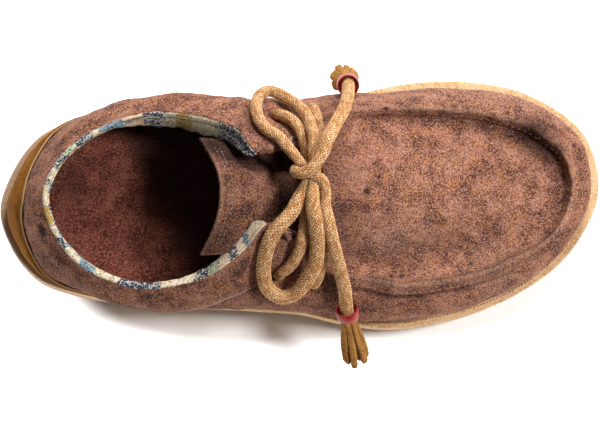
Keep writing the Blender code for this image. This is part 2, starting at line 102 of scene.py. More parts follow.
STATIONS = rows_of(
    Station,
    ("heel back", -143.3, -4, 4.8, -2.2, 9.5, 12.0, 40, 0, -121.6, -4, 80),
    ("heel corner out", -138.6, -20, 4.8, -1.6, 7.4, 9.8, 40, 0, -117, -18.5, 79),
    ("heel turn out", -126.5, -35.2, 4.6, 0.4, 5.4, 7.4, 39, 0, -106.5, -32, 77.5),
    ("heel out", -102, -44.2, 4.2, 4.6, -3.6, -1.4, 39, 0, -89, -41, 75),
    ("collar out", -72, -47.8, 3.4, 6.8, -8.0, -4.8, 39.5, 0, -70, -43.6, 74),
    ("waist out", -45, -49.5, 3.3, 6.0, -4.6, -0.6, 42, 0, -47, -38.5, 77.5),
    ("instep out", -20, -51, 3.3, 4.8, -0.8, 8.0, 44.5, 0, -30, -26.6, 84.5),
    ("flap out", 0, -52.6, 3.3, 3.8, 2.4, 13.0, 43, 0.15, -20.4, -16.2, 89.5),
    ("throat out", 19, -56.8, 3.3, 3.0, 4.6, 15.2, 38.5, 0.7, -8, -21.8, 83),
    ("ball out", 40, -59.8, 3.4, 0.6, 4.6, 14.2, 35, 1, 3.4, -18.4, 78.4),
    ("toe wall out", 69.5, -56.2, 3.8, 0.6, 4.2, 12.6, 32, 1, 5.6, -11.5, 80.2),
    ("toe turn out", 103.8, -43.4, 3.5, -0.2, 3.6, 11.0, 28.5, 1, 6.8, -6, 80.8),
    ("toe corner out", 129.8, -23, 4.8, 0.0, 2.6, 7.6, 24.5, 1, 7.4, -2.6, 81),
    ("toe tip", 143.3, 8, 4.8, -0.8, 4.0, 10.8, 21.5, 1, 7.6, 0.6, 81),
    ("toe corner in", 136.6, 33.4, 5.0, -0.2, 4.2, 12.4, 23.5, 1, 7.4, 3.6, 81),
    ("toe turn in", 115, 50.8, 5.2, 0.0, 4.4, 13.2, 27.5, 1, 6.8, 7, 80.8),
    ("ball in", 66, 59.8, 4.6, -0.6, 5.0, 12.9, 32.5, 1, 5.6, 12, 80.2),
    ("throat in", 36, 55.4, 4.2, 0.4, 3.8, 9.6, 37, 0.9, 3.4, 18.4, 78.4),
    ("flap in", 14, 48.5, 3.4, 4.4, -0.2, 5.4, 41, 0.4, -8, 21.6, 83),
    ("instep in", -8, 44, 3.3, 5.0, -2.6, 3.6, 44, 0, -24.6, 17, 89.5),
    ("waist in", -34, 43.2, 3.3, 5.0, -4.4, -1.0, 44, 0, -35, 29, 82.5),
    ("collar in", -65, 43.6, 3.4, 6.0, -7.0, -4.2, 40, 0, -63, 37, 74.5),
    ("heel in", -98, 41.8, 4.2, 4.4, -2.2, 0.6, 39, 0, -89, 32.6, 75),
    ("heel turn in", -125, 31.6, 4.6, -1.2, 7.0, 9.0, 39, 0, -109, 21, 77.5),
    ("heel corner in", -138.2, 13.4, 4.8, -1.8, 8.4, 10.8, 40, 0, -118.4, 9, 79),
)


class SoleRow(NamedTuple):
    """Side view of the sole: height of its top, and of its underside off the floor."""

    x: float
    top: float
    lift: float


SOLE_ROWS = rows_of(
    SoleRow,
    (-145, 28.2, 2.5), (-132, 27.8, 0.0), (-46, 25.6, 0.0), (-36, 25.2, 4.0), (2, 23.4, 4.0),
    (12, 23.0, 0.0), (88, 22.4, 0.0), (112, 24.2, 2.4), (130, 26.4, 6.0), (145, 28.8, 10.0),
)


def run_along(points: Array) -> Array:
    """Distance along a line to each of its points."""
    return np.append(0, np.cumsum(np.linalg.norm(np.diff(points, axis=0), axis=1)))


def unit(vectors: Array) -> Array:
    """Vectors scaled to a length of 1."""
    return vectors / np.linalg.norm(vectors, axis=-1, keepdims=True)


def cubic(start: Array, end: Array, start_slope: Array, end_slope: Array, step: Array, u: Array) -> Array:
    """Cubic between two values with the given slopes, at u from 0 to 1 of the step."""
    rise = (end - start) / step
    bend = start_slope + (3 * rise - 2 * start_slope - end_slope) * u
    return start + step * u * (bend + (start_slope + end_slope - 2 * rise) * u * u)


def ring_spline(knots: Array, values: Array) -> Callable[[Array], Array]:
    """Smooth closed curve through rows of values.

    Args:
        knots: Place of each row around the ring, from 0 to below 1.
        values: One row of numbers for each knot.

    Returns:
        A function from places around the ring to rows of numbers.
    """
    step = np.diff(np.append(knots, knots[0] + 1.0))[:, None]
    slope = (np.roll(values, -1, axis=0) - values) / step
    before, slope_before = np.roll(step, 1, axis=0), np.roll(slope, 1, axis=0)
    tangent = (slope * before + slope_before * step) / (before + step)

    def at(t: Array) -> Array:
        """Rows of numbers at places around the ring."""
        t = np.mod(t, 1.0)
        i = np.searchsorted(knots, t, side="right") - 1
        j = (i + 1) % len(knots)
        u = (t - knots[i])[:, None] / step[i]
        return cubic(values[i], values[j], tangent[i], tangent[j], step[i], u)

    return at


def smooth_path(points: Sequence[Sequence[float]], fractions: Array) -> Array:
    """Smooth open curve through points.

    Args:
        points: Places that the curve passes.
        fractions: Shares of its length, from 0 to 1.

    Returns:
        One place on the curve for each fraction.
    """
    places = np.asarray(points, float)
    along = run_along(places)
    along /= along[-1]
    tangent = np.gradient(places, along, axis=0)
    t = np.asarray(fractions, float)
    i = np.clip(np.searchsorted(along, t, side="right") - 1, 0, len(places) - 2)
    step = (along[i + 1] - along[i])[:, None]
    u = (t - along[i])[:, None] / step
    return cubic(places[i], places[i + 1], tangent[i], tangent[i + 1], step, u)


def even_path(points: Sequence[Sequence[float]], step: float, samples: int = 1200) -> Array:
    """Places at about an even step along the smooth curve through points."""
    fine = smooth_path(points, np.linspace(0, 1, samples))
    along = run_along(fine)
    wanted = np.linspace(0, along[-1], int(along[-1] / step) + 2)
    return np.stack([np.interp(wanted, along, fine[:, k]) for k in range(fine.shape[1])], axis=1)


def smooth_step(value: Array, low: float, high: float) -> Array:
    """Soft rise from 0 at low to 1 at high."""
    u = np.clip((np.asarray(value, float) - low) / (high - low), 0, 1)
    return u * u * (3 - 2 * u)


def hump(value: Array, middle: float, width: float) -> Array:
    """Soft hump of height 1 around a middle."""
    return np.exp(-(((np.asarray(value, float) - middle) / width) ** 2))


def full_turn(count: int) -> Array:
    """Even angles around a circle."""
    return np.arange(count) * 2 * np.pi / count


def squared(wave: Array, power: float) -> Array:
    """A sine or cosine pushed towards a square wave by a power below 1."""
    return np.sign(wave) * np.abs(wave) ** power


def between_rows(grid: Array, place: Array) -> Array:
    """Points of a grid at places between its rows, given as row numbers for each column."""
    low = np.clip(place.astype(int), 0, len(grid) - 2)
    part, column = (place - low)[..., None], np.arange(grid.shape[1])[None, :]
    return grid[low, column] * (1 - part) + grid[low + 1, column] * part


def outside_only(marks: Array, inner_rows: int) -> Array:
    """Marks of an outer skin followed by zeros for the rows of the inner skin."""
    return np.concatenate([marks, np.zeros((inner_rows, marks.shape[1]))])


def surface_normals(grid: Array, closed: bool) -> Array:
    """Outward normals of a grid of points whose rows run up and whose columns run around."""
    up = np.gradient(grid, axis=0)
    if closed:
        around = np.roll(grid, -1, axis=1) - np.roll(grid, 1, axis=1)
    else:
        around = np.gradient(grid, axis=1)
    return unit(np.cross(around, up))


@dataclass
class Last:
    """Form of the upper and the sole, read from the station table."""

    gap: float = 0.3
    belly_share: float = 0.42
    shoulder_share: float = 0.85
    collar_share: float = 0.3
    ridge_reach: float = 5.4
    ridge_drop: float = 3.6
    outline_step: float = 0.002
    levels: Array = field(default_factory=lambda: np.array((0.0, 0.17, 0.33, 0.45, 0.55, 1.0)))

    def __post_init__(self) -> None:
        """Works out how far around the sole's edge each station lies."""
        edge = np.array([(s.x, s.y) for s in STATIONS], float)
        chord = np.linalg.norm(np.roll(edge, -1, axis=0) - edge, axis=1)
        self.knots = np.append(0, np.cumsum(chord)[:-1]) / chord.sum()
        self.knot_of = {s.place: knot for s, knot in zip(STATIONS, self.knots)}
        self.column = {name: i for i, name in enumerate(Station._fields[1:])}
        self.station_at = ring_spline(self.knots, np.array([s[1:] for s in STATIONS], float))

    def value(self, t: Array, name: str) -> Array:
        """One column of the station table at places around the shoe."""
        return self.station_at(t)[:, self.column[name]]

    def table(self, rows: Sequence[tuple[str, float]], t: Array) -> Array:
        """Values given at some stations, read at any places around the shoe, straight between them."""
        knots = np.array([self.knot_of[place] for place, _ in rows])
        values = np.array([value for _, value in rows])
        return np.interp(np.mod(t, 1.0), knots, values, period=1.0)

    def sole_top(self, x: Array) -> Array:
        """Height of the sole's upper face."""
        return np.interp(x, [r.x for r in SOLE_ROWS], [r.top for r in SOLE_ROWS])

    def sole_lift(self, x: Array) -> Array:
        """Height of the sole's underside off the floor."""
        return np.interp(x, [r.x for r in SOLE_ROWS], [r.lift for r in SOLE_ROWS])

    def outline(self, t: Array, inset: Array | float) -> tuple[Array, Array]:
        """Plan of the sole's edge moved inwards, and its inward normals."""
        place = self.station_at(t)[:, :2]
        step = self.outline_step
        ahead = self.station_at(t + step)[:, :2] - self.station_at(t - step)[:, :2]
        inward = unit(np.stack([-ahead[:, 1], ahead[:, 0]], axis=1))
        return place + inward * np.reshape(inset, (-1, 1)), inward

    def upper_form(self, t: Array, levels: Sequence[float], ridge_share: float = 1.0) -> Array:
        """Outer surface of the upper.

        Args:
            t: Places around the shoe.
            levels: Places up the wall, from 0 at the sole to 1 at the rim of the foot opening.
            ridge_share: Height of the moccasin seam, as a share of its full height.

        Returns:
            A grid of points, one row for each level and one column for each t.
        """
        values = {name: self.value(t, name) for name in self.column}
        foot, inward = self.outline(t, values["rim"])
        base = self.sole_top(foot[:, 0]) + self.gap

        def wall_point(inset: Array, height: Array) -> Array:
            """Points at an inset from the lower edge and a height above it."""
            return np.column_stack([foot + inward * inset[:, None], base + height])

        rise, ridge = values["rise"], values["ridge"][:, None]
        crest_drop = (1 - ridge_share) * values["ridge"] * self.ridge_drop
        crest = wall_point(values["crest_in"], rise - crest_drop)
        rim = np.column_stack([values["edge_x"], values["edge_y"], values["edge_z"]])
        groove = wall_point(values["crest_in"] + self.ridge_reach, rise - self.ridge_drop)
        collar = crest + (rim - crest) * self.collar_share
        points = np.stack(
            [
                wall_point(0 * rise, 0 * rise),
                wall_point(-values["belly_out"], self.belly_share * rise),
                wall_point(values["shoulder_in"], self.shoulder_share * rise),
                crest,
                ridge * groove + (1 - ridge) * collar,
                rim,
            ]
        )
        tangent = np.gradient(points, self.levels, axis=0)
        wanted = np.asarray(levels, float)
        i = np.clip(np.searchsorted(self.levels, wanted, side="right") - 1, 0, len(self.levels) - 2)
        step = np.diff(self.levels)[i][:, None, None]
        u = (wanted - self.levels[i])[:, None, None] / step
        return cubic(points[i], points[i + 1], tangent[i], tangent[i + 1], step, u)


@dataclass(frozen=True)
class Lumps:
    """Smooth swell of a soft surface, the same on every run."""

    wavelength: float
    height: float
    seed: int
    waves: int = 18

    def at(self, points: Array) -> Array:
        """Height of the swell at points."""
        rng = np.random.default_rng(self.seed)
        turn = unit(rng.normal(size=(self.waves, 3)))
        turn *= (rng.uniform(0.7, 1.5, self.waves) * 2 * np.pi / self.wavelength)[:, None]
        phase = rng.uniform(0, 2 * np.pi, self.waves)
        return self.height * np.sin(points @ turn.T + phase).sum(-1) / math.sqrt(self.waves / 2)


# Meshes and pieces


class MeshBuilder:
    """Collects grids of points, each a closed skin, into one mesh."""

    def __init__(self) -> None:
        """Starts with nothing."""
        self.points: list[Array] = []
        self.faces: list[Array] = []
        self.corners: list[Array] = []
        self.marks: dict[str, list[Array]] = {}
        self.count = 0

    def add(self, grid: Array, closed: bool, along: Array | None = None, **marks: Array) -> None:
        """Adds a grid whose rows wrap round.

        Args:
            grid: Points, by row and column. If the columns are open, the number of rows is even.
            closed: Whether the columns wrap round too. If not, both ends are closed by strips across.
            along: Second UV coordinate of each column; the first one goes from 0 to 1 round the rows.
            marks: Numbers for the points of this grid, by name.
        """
        rows, columns = grid.shape[:2]
        cells = np.indices((rows, columns if closed else columns - 1))
        row, column = cells.reshape(2, -1)
        around = np.stack([row, row, row + 1, row + 1], axis=1)
        across = np.stack([column, column + 1, column + 1, column], axis=1)
        if not closed:
            k = np.arange(rows // 2 - 1)
            strip = np.stack([k, k + 1, rows - 2 - k, rows - 1 - k], axis=1)
            ends = [np.full_like(strip, c) for c in (0, columns - 1)]
            around = np.concatenate([around, strip, strip])
            across = np.concatenate([across, *ends])
        along = np.zeros(columns) if along is None else np.asarray(along, float)
        self.faces.append(self.count + (around % rows) * columns + across % columns)
        self.corners.append(np.stack([around / rows, along[across % columns]], axis=2))
        self.points.append(grid.reshape(-1, 3))
        for name, values in marks.items():
            self.marks.setdefault(name, []).append(np.broadcast_to(values, grid.shape[:2]).ravel())
        self.count += rows * columns

    def mesh(self, name: str) -> Mesh:
        """Makes the mesh, in metres, with its faces turned outwards.

        Args:
            name: Name of the mesh.

        Returns:
            The mesh, with a UV map and one attribute for each mark.
        """
        mesh = bpy.data.meshes.new(name)
        points = (np.concatenate(self.points) * MM).tolist()
        mesh.from_pydata(points, [], np.concatenate(self.faces).tolist())
        layer = mesh.uv_layers.new(name="lay")
        layer.data.foreach_set("uv", np.concatenate(self.corners).ravel())
        for key, values in self.marks.items():
            mark = mesh.attributes.new(key, "FLOAT", "POINT")
            mark.data.foreach_set("value", np.concatenate(values).astype(np.float32))
        work = bmesh.new()
        work.from_mesh(mesh)
        bmesh.ops.recalc_face_normals(work, faces=work.faces)
        work.to_mesh(mesh)
        work.free()
        mesh.shade_smooth()
        return mesh


def link_object(name: str, mesh: Mesh) -> Piece:
    """Puts a mesh in the scene as an object at the origin."""
    item = bpy.data.objects.new(name, mesh)
    bpy.context.scene.collection.objects.link(item)
    return item


def add_piece(name: str, mesh: Mesh, material: Material, slot: str, *nodes: str) -> Piece:
    """Adds one finished piece to the shoe.

    Args:
        name: Name of the piece.
        mesh: Its mesh, in place.
        material: Its finish.
        slot: Material slot of the record that it belongs to.
        nodes: CAD nodes that it stands for.

    Returns:
        The piece.
    """
    mesh.materials.clear()
    mesh.materials.append(material)
    piece = link_object(name, mesh)
    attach(piece, BODY)
    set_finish(piece, slot)
    if nodes:
        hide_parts(*nodes)
    LOG.info("%s: %d faces", name, len(mesh.polygons))
    return piece


def skin_piece(
    name: str, grid: Array, closed: bool, material: Material, slot: str, *nodes: str, **marks: Array
) -> Piece:
    """Adds a finished piece that is one closed skin.

    Args:
        name: Name of the piece.
        grid: Points of the skin, by row and column.
        closed: Whether its columns wrap round as its rows do.
        material: Its finish.
        slot: Material slot of the record that it belongs to.
        nodes: CAD nodes that it stands for.
        marks: Numbers for the points, by name.

    Returns:
        The piece.
    """
    builder = MeshBuilder()
    builder.add(grid, closed, **marks)
    return add_piece(name, builder.mesh(name), material, slot, *nodes)


def evaluated_mesh(item: Piece) -> Mesh:
    """Plain mesh of an object with its modifiers carried out."""
    bpy.context.view_layer.update()
    return bpy.data.meshes.new_from_object(item.evaluated_get(bpy.context.evaluated_depsgraph_get()))


# Node trees


class Nodes:
    """Node tree under construction."""

    def __init__(self, tree: bpy.types.NodeTree) -> None:
        """Takes the tree to fill."""
        self.tree = tree

    def node(
        self, kind: str, settings: dict[str, Any] | None = None, inputs: dict[Any, Any] | None = None
    ) -> bpy.types.Node:
        """Adds one node.

        Args:
            kind: Type of the node.
            settings: Its properties, or the stops of its colour ramp; they are set first.
            inputs: Values or links of its sockets, by name or number.

        Returns:
            The node.
        """
        node = self.tree.nodes.new(kind)
        for key, value in (settings or {}).items():
            if key == "stops":
                self.set_stops(node.color_ramp, value)
            else:
                setattr(node, key, value)
        self.feed(node, inputs or {})
        return node

    def feed(self, node: bpy.types.Node, inputs: dict[Any, Any]) -> None:
        """Sets or links sockets of a node, by name or number."""
        for key, value in inputs.items():
            source = value.socket if isinstance(value, Value) else value
            if isinstance(source, Socket):
                self.tree.links.new(source, node.inputs[key])
            elif node.inputs[key].type == "RGBA":
                node.inputs[key].default_value = (*source, 1.0)
            else:
                node.inputs[key].default_value = source

    @staticmethod
    def set_stops(ramp: bpy.types.ColorRamp, stops: Stops) -> None:
        """Gives a colour ramp its stops, in order of place."""
        while len(ramp.elements) < len(stops):
            ramp.elements.new(1.0)
        for element, (place, colour) in zip(ramp.elements, stops):
            element.position = place
            element.color = (*colour, 1.0)


class Value:
    """Number in a material; its operators add Math nodes."""

    def __init__(self, shader: "Shader", socket: Socket) -> None:
        """Wraps a socket."""
        self.shader = shader
        self.socket = socket

    def math(self, operation: str, *others: "Value | float", reflected: bool = False) -> "Value":
        """Result of a Math node on this value and others."""
        terms = (*others, self) if reflected else (self, *others)
        node = self.shader.node("ShaderNodeMath", {"operation": operation}, dict(enumerate(terms)))
        return Value(self.shader, node.outputs[0])

    def __add__(self, other: "Value | float") -> "Value":
        """Sum."""
        return self.math("ADD", other)

    def __sub__(self, other: "Value | float") -> "Value":
        """Difference."""
        return self.math("SUBTRACT", other)

    def __rsub__(self, other: float) -> "Value":
        """Difference from a number."""
        return self.math("SUBTRACT", other, reflected=True)

    def __mul__(self, other: "Value | float") -> "Value":
        """Product."""
        return self.math("MULTIPLY", other)

    __radd__ = __add__
    __rmul__ = __mul__

    def rise(self, low: float, high: float) -> "Value":
        """Soft rise from 0 at low to 1 at high."""
        settings = {"interpolation_type": "SMOOTHSTEP"}
        node = self.shader.node("ShaderNodeMapRange", settings, {0: self, 1: low, 2: high})
        return Value(self.shader, node.outputs[0])


class Shader(Nodes):
    """Material under construction: one Principled shader and what feeds it."""

    def __init__(self, name: str) -> None:
        """Starts a material."""
        self.material = bpy.data.materials.new(name)
        self.material.use_nodes = True
        super().__init__(self.material.node_tree)
        self.principled = self.tree.nodes["Principled BSDF"]
        self.coordinates = self.node("ShaderNodeTexCoord")
        self.object_place = self.coordinates.outputs["Object"]

    def noise(
        self, size: float, detail: float = 2.0, roughness: float = 0.5, shift: Place | None = None
    ) -> Value:
        """Noise on object coordinates.

        Args:
            size: Size of its patches in millimetres.
            detail: Number of finer layers.
            roughness: Strength of the finer layers.
            shift: Offset in metres, for a pattern unlike the others.

        Returns:
            A value around 0.5.
        """
        place = self.object_place
        if shift:
            moved = self.node("ShaderNodeVectorMath", {"operation": "ADD"}, {0: place, 1: shift})
            place = moved.outputs[0]
        inputs = {"Vector": place, "Scale": 1 / (size * MM), "Detail": detail, "Roughness": roughness}
        return Value(self, self.node("ShaderNodeTexNoise", None, inputs).outputs[0])

    def mark(self, name: str) -> Value:
        """Number that the mesh carries under a name."""
        node = self.node("ShaderNodeAttribute", {"attribute_name": name})
        return Value(self, node.outputs["Fac"])

    def parts(self, vector: Socket) -> tuple[Value, ...]:
        """The three numbers of a vector."""
        node = self.node("ShaderNodeSeparateXYZ", None, {0: vector})
        return tuple(Value(self, output) for output in node.outputs)

    def mix(self, share: Value | float, first: Any, second: Any) -> Socket:
        """Mix of two colours."""
        settings = {"data_type": "RGBA", "clamp_factor": True}
        return self.node("ShaderNodeMix", settings, {0: share, 6: first, 7: second}).outputs[2]

    def ramp(self, value: Value, stops: Stops, hard: bool = False) -> Socket:
        """Colour that goes with a value, in soft or hard steps."""
        node = self.node("ShaderNodeValToRGB", {"stops": stops}, {0: value})
        node.color_ramp.interpolation = "CONSTANT" if hard else "LINEAR"
        return node.outputs[0]

    def finish(
        self, colour: Socket, roughness: Value | float, height: Value, depth: float, specular: float = 0.05
    ) -> Material:
        """Feeds the shader.

        Args:
            colour: Base colour.
            roughness: Roughness.
            height: Relief from 0 to 1.
            depth: Depth of the relief in millimetres.
            specular: Specular level, the same all over.

        Returns:
            The material.
        """
        bump = self.node("ShaderNodeBump", None, {"Height": height, "Distance": depth * MM})
        inputs = {"Base Color": colour, "Roughness": roughness, "Specular IOR Level": specular}
        self.feed(self.principled, {"Normal": bump.outputs[0], **inputs})
        return self.material


class Repeat(Nodes):
    """Geometry Nodes tree that sets one small shape many times on a carrier mesh."""

    def __init__(self, name: str, sizes: Sequence[str]) -> None:
        """Starts a tree with a number input for each size, a seed and a material."""
        super().__init__(bpy.data.node_groups.new(name, "GeometryNodeTree"))
        add = self.tree.interface.new_socket
        kinds = {"Geometry": "Geometry", **dict.fromkeys(sizes, "Float")}
        for key, kind in {**kinds, "Seed": "Int", "Material": "Material"}.items():
            add(key, in_out="INPUT", socket_type="NodeSocket" + kind)
        add("Geometry", in_out="OUTPUT", socket_type="NodeSocketGeometry")
        self.given = self.node("NodeGroupInput").outputs

    def close(self, points: Any, shape: Any, rotation: Any, least: float, most: float) -> None:
        """Sets the shape on the points at random scales and ends the tree."""
        limits = {2: least, 3: most, "Seed": self.given["Seed"]}
        scale = self.node("FunctionNodeRandomValue", {"data_type": "FLOAT"}, limits)
        inputs = {"Points": points, "Instance": shape, "Rotation": rotation, "Scale": scale.outputs[1]}
        placed = self.node("GeometryNodeInstanceOnPoints", None, inputs)
        plain = self.node("GeometryNodeRealizeInstances", None, {0: placed.outputs[0]})
        inputs = {"Geometry": plain.outputs[0], "Material": self.given["Material"]}
        dressed = self.node("GeometryNodeSetMaterial", None, inputs)
        self.node("NodeGroupOutput", None, {0: dressed.outputs[0]})

    def mesh(self, carrier: Piece, material: Material, **values: float) -> Mesh:
        """Runs the tree on a carrier.

        Args:
            carrier: Object whose mesh carries the small shapes.
            material: Finish of the small shapes.
            values: Sizes by the name of their input.

        Returns:
            The small shapes as a plain mesh.
        """
        modifier = carrier.modifiers.new(self.tree.name, "NODES")
        modifier.node_group = self.tree
        given = {**values, "Material": material}
        for item in self.tree.interface.items_tree:
            if item.in_out == "INPUT" and item.name in given:
                modifier[item.identifier] = given[item.name]
        mesh = evaluated_mesh(carrier)
        carrier.modifiers.remove(modifier)
        mesh.shade_smooth()
        return mesh


class FibreRepeat(Repeat):
    """Short fibres that stand and lean out of a nap, where the carrier's mark "nap" is above 0."""

    SWING = (1.25, 1.25, 3.1)
    SCALES = (0.5, 1.4)

    def __init__(self) -> None:
        """Builds the tree."""
        super().__init__("fibres", ("Density", "Length", "Thickness"))
        nap = self.node("GeometryNodeInputNamedAttribute", {"data_type": "FLOAT"}, {"Name": "nap"})
        terms = {0: self.given["Density"], 1: nap.outputs[0]}
        density = self.node("ShaderNodeMath", {"operation": "MULTIPLY"}, terms)
        inputs = {"Mesh": self.given["Geometry"], "Density": density.outputs[0], "Seed": self.given["Seed"]}
        points = self.node("GeometryNodeDistributePointsOnFaces", None, inputs)
        limits = {0: tuple(-angle for angle in self.SWING), 1: self.SWING, "Seed": self.given["Seed"]}
        tilt = self.node("FunctionNodeRandomValue", {"data_type": "FLOAT_VECTOR"}, limits)
        turn = self.node("FunctionNodeEulerToRotation", None, {0: tilt.outputs[0]})
        inputs = {0: points.outputs["Rotation"], 1: turn.outputs[0]}
        rotation = self.node("FunctionNodeRotateRotation", {"rotation_space": "LOCAL"}, inputs)
        inputs = {"Vertices": 3, "Radius Top": 0.0, "Radius Bottom": self.given["Thickness"]}
        inputs["Depth"] = self.given["Length"]
        cone = self.node("GeometryNodeMeshCone", {"fill_type": "NGON"}, inputs)
        self.close(points.outputs["Points"], cone.outputs["Mesh"], rotation.outputs[0], *self.SCALES)


class StitchSizes(NamedTuple):
    """Stitches of one kind: their spacing, length, thickness, and the seed of their unevenness."""

    spacing: float
    length: float
    thickness: float
    seed: int


class StitchRepeat(Repeat):
    """Stitches along the edges of a carrier mesh."""

    SIZES = ("Spacing", "Length", "Thickness")
    SCALES = (0.8, 1.15)

    def __init__(self) -> None:
        """Builds the tree."""
        super().__init__("stitches", self.SIZES)
        curve = self.node("GeometryNodeMeshToCurve", None, {0: self.given["Geometry"]})
        inputs = {"Curve": curve.outputs[0], "Length": self.given["Spacing"]}
        points = self.node("GeometryNodeResampleCurve", {"mode": "LENGTH"}, inputs)
        tangent = self.node("GeometryNodeInputTangent")
        inputs = {"Vector": tangent.outputs[0]}
        rotation = self.node("FunctionNodeAlignRotationToVector", {"axis": "X"}, inputs)
        thick = self.given["Thickness"]
        size = self.node("ShaderNodeCombineXYZ", None, {0: self.given["Length"], 1: thick, 2: thick})
        ball = self.node("GeometryNodeMeshIcoSphere", None, {"Radius": 0.5, "Subdivisions": 2})
        inputs = {"Geometry": ball.outputs[0], "Scale": size.outputs[0]}
        stitch = self.node("GeometryNodeTransform", None, inputs)
        self.close(points.outputs[0], stitch.outputs[0], rotation.outputs[0], *self.SCALES)

    def piece(
        self, name: str, paths: Sequence[Array], sizes: StitchSizes, material: Material, slot: str
    ) -> Piece:
        """Sets stitches along paths.

        Args:
            name: Name of the piece.
            paths: Points of each path.
            sizes: Kind of stitches.
            material: Their finish.
            slot: Material slot of the record that they belong to.

        Returns:
            The stitches as one piece.
        """
        carrier = edge_carrier(name.replace("stitches", "path"), paths)
        values = {key: size * MM for key, size in zip(self.SIZES, sizes)}
        mesh = self.mesh(carrier, material, **values, Seed=sizes.seed)
        bpy.data.objects.remove(carrier)
        return add_piece(name, mesh, material, slot)


def edge_carrier(name: str, paths: Sequence[Array]) -> Piece:
    """Object whose mesh is only the edges of some paths."""
    points, edges = [], []
    for path in paths:
        first = len(points)
        points.extend((np.asarray(path) * MM).tolist())
        edges.extend((first + i, first + i + 1) for i in range(len(path) - 1))
    mesh = bpy.data.meshes.new(name)
    mesh.from_pydata(points, edges, [])
    return link_object(name, mesh)


# Finishes


@dataclass(frozen=True)
class WoolFinish:
    """Felted heather wool: soft patches of several browns with fine dark and pale flecks."""

    dark: Colour = (0.088, 0.031, 0.028)
    middle: Colour = (0.22, 0.084, 0.053)
    light: Colour = (0.345, 0.153, 0.102)
    rust: Colour = (0.33, 0.12, 0.03)
    blot: Colour = (0.06, 0.021, 0.021)
    fleck_dark: Colour = (0.03, 0.01, 0.009)
    fleck_light: Colour = (0.52, 0.3, 0.205)
    # edge is the pale colour of cut edges, also used for painted highlights
    edge: Colour = (0.5, 0.31, 0.225)
    # stain is also the colour of the painted shade
    stain: Colour = (0.018, 0.01, 0.01)
    patch: float = 9.0
    rust_share: float = 0.6
    fleck: float = 0.7
    nap: float = 0.5

    def scaled(self, share: float) -> "WoolFinish":
        """The same wool with all its colours darker or paler by a share."""
        names = ("dark", "middle", "light", "rust", "blot", "fleck_dark", "fleck_light", "edge")
        return replace(self, **{name: tuple(share * v for v in getattr(self, name)) for name in names})

    def material(self, name: str) -> Material:
        """Makes the material."""
        shader = Shader(name)
        patch = shader.noise(self.patch, 3.0, 0.6)
        cloud = shader.noise(0.55 * self.patch, 3.0, 0.6, (0.31, 0.12, 0.57))
        fleck = shader.noise(self.fleck, 2.0, 0.65)
        speck = shader.noise(2.6 * self.fleck, 2.0, 0.6, (0.83, 0.44, 0.19))
        blot = shader.noise(5.0, 2.0, 0.55, (0.57, 0.91, 0.23))
        tone = 0.72 * patch + 0.28 * speck
        colour = shader.ramp(tone, ((0.4, self.dark), (0.485, self.middle), (0.58, self.light)))
        colour = shader.mix(self.rust_share * cloud.rise(0.48, 0.68), colour, self.rust)
        colour = shader.mix(0.45 * blot.rise(0.52, 0.7), colour, self.blot)
        colour = shader.mix(0.7 * fleck.rise(0.49, 0.67), colour, self.fleck_light)
        colour = shader.mix(0.85 * (1 - fleck).rise(0.47, 0.69), colour, self.fleck_dark)
        # Pale cut edges and pale spots, together with the painted highlights that the upper's pale mark
        # carries
        colour = shader.mix(0.75 * shader.mark("pale") * fleck.rise(0.3, 0.6), colour, self.edge)
        ragged = shader.mark("stain") + 0.9 * (speck - 0.5)
        colour = shader.mix(0.85 * ragged.rise(0.3, 0.75), colour, self.stain)
        # Painted shade: the shade mark darkens creases, hollows and shadowed sides to the stain colour
        colour = shader.mix(shader.mark("shade"), colour, self.stain)
        height = 0.6 * fleck + 0.4 * speck
        return shader.finish(colour, 1.0, height, self.nap)


@dataclass(frozen=True)
class CrepeFinish:
    """Tan crepe rubber with a fine crumbly grain, dirtier towards the floor, with painted shade where the
    mesh marks it.
    """

    light: Colour = (0.7, 0.45, 0.25)
    dark: Colour = (0.43, 0.23, 0.1)
    heel: Colour = (0.6, 0.42, 0.3)
    dirt_and_shade: Colour = (0.23, 0.14, 0.08)
    grain: float = 1.1

    def material(self, name: str) -> Material:
        """Makes the material."""
        shader = Shader(name)
        crumb = shader.noise(self.grain, 3.0, 0.6)
        patch = shader.noise(9.0, 3.0, 0.6)
        along, _, height = shader.parts(shader.object_place)
        colour = shader.ramp(0.65 * crumb + 0.35 * patch, ((0.38, self.dark), (0.54, self.light)))
        colour = shader.mix(0.7 * (1 - along.rise(-0.13, -0.06)), colour, self.heel)
        low = 1 - height.rise(0.001, 0.012)
        colour = shader.mix(0.45 * low * patch.rise(0.35, 0.65), colour, self.dirt_and_shade)
        # Painted shade, where the mesh carries the shade mark
        colour = shader.mix(shader.mark("shade"), colour, self.dirt_and_shade)
        return shader.finish(colour, 0.72 + 0.2 * crumb, crumb, 0.35, 0.15)


@dataclass(frozen=True)
class SuedeFinish:
    """Brushed suede with a short nap, a paler cut edge that is partly a painted highlight, and painted
    shade where the mesh marks it.
    """

    light: Colour = (0.29, 0.112, 0.014)
    dark: Colour = (0.14, 0.05, 0.006)
    edge: Colour = (0.64, 0.43, 0.25)
    grain: float = 0.7

    def material(self, name: str) -> Material:
        """Makes the material."""
        shader = Shader(name)
        nap = shader.noise(self.grain, 3.0, 0.7)
        brush = shader.noise(7.0, 3.0, 0.6)
        colour = shader.ramp(0.6 * nap + 0.4 * brush, ((0.36, self.dark), (0.6, self.light)))
        # Paler cut edge, partly a painted highlight
        colour = shader.mix(0.85 * shader.mark("pale"), colour, self.edge)
        # Painted shade towards the dark colour
        colour = shader.mix(0.8 * shader.mark("shade"), colour, self.dark)
        return shader.finish(colour, 0.95, nap, 0.25)


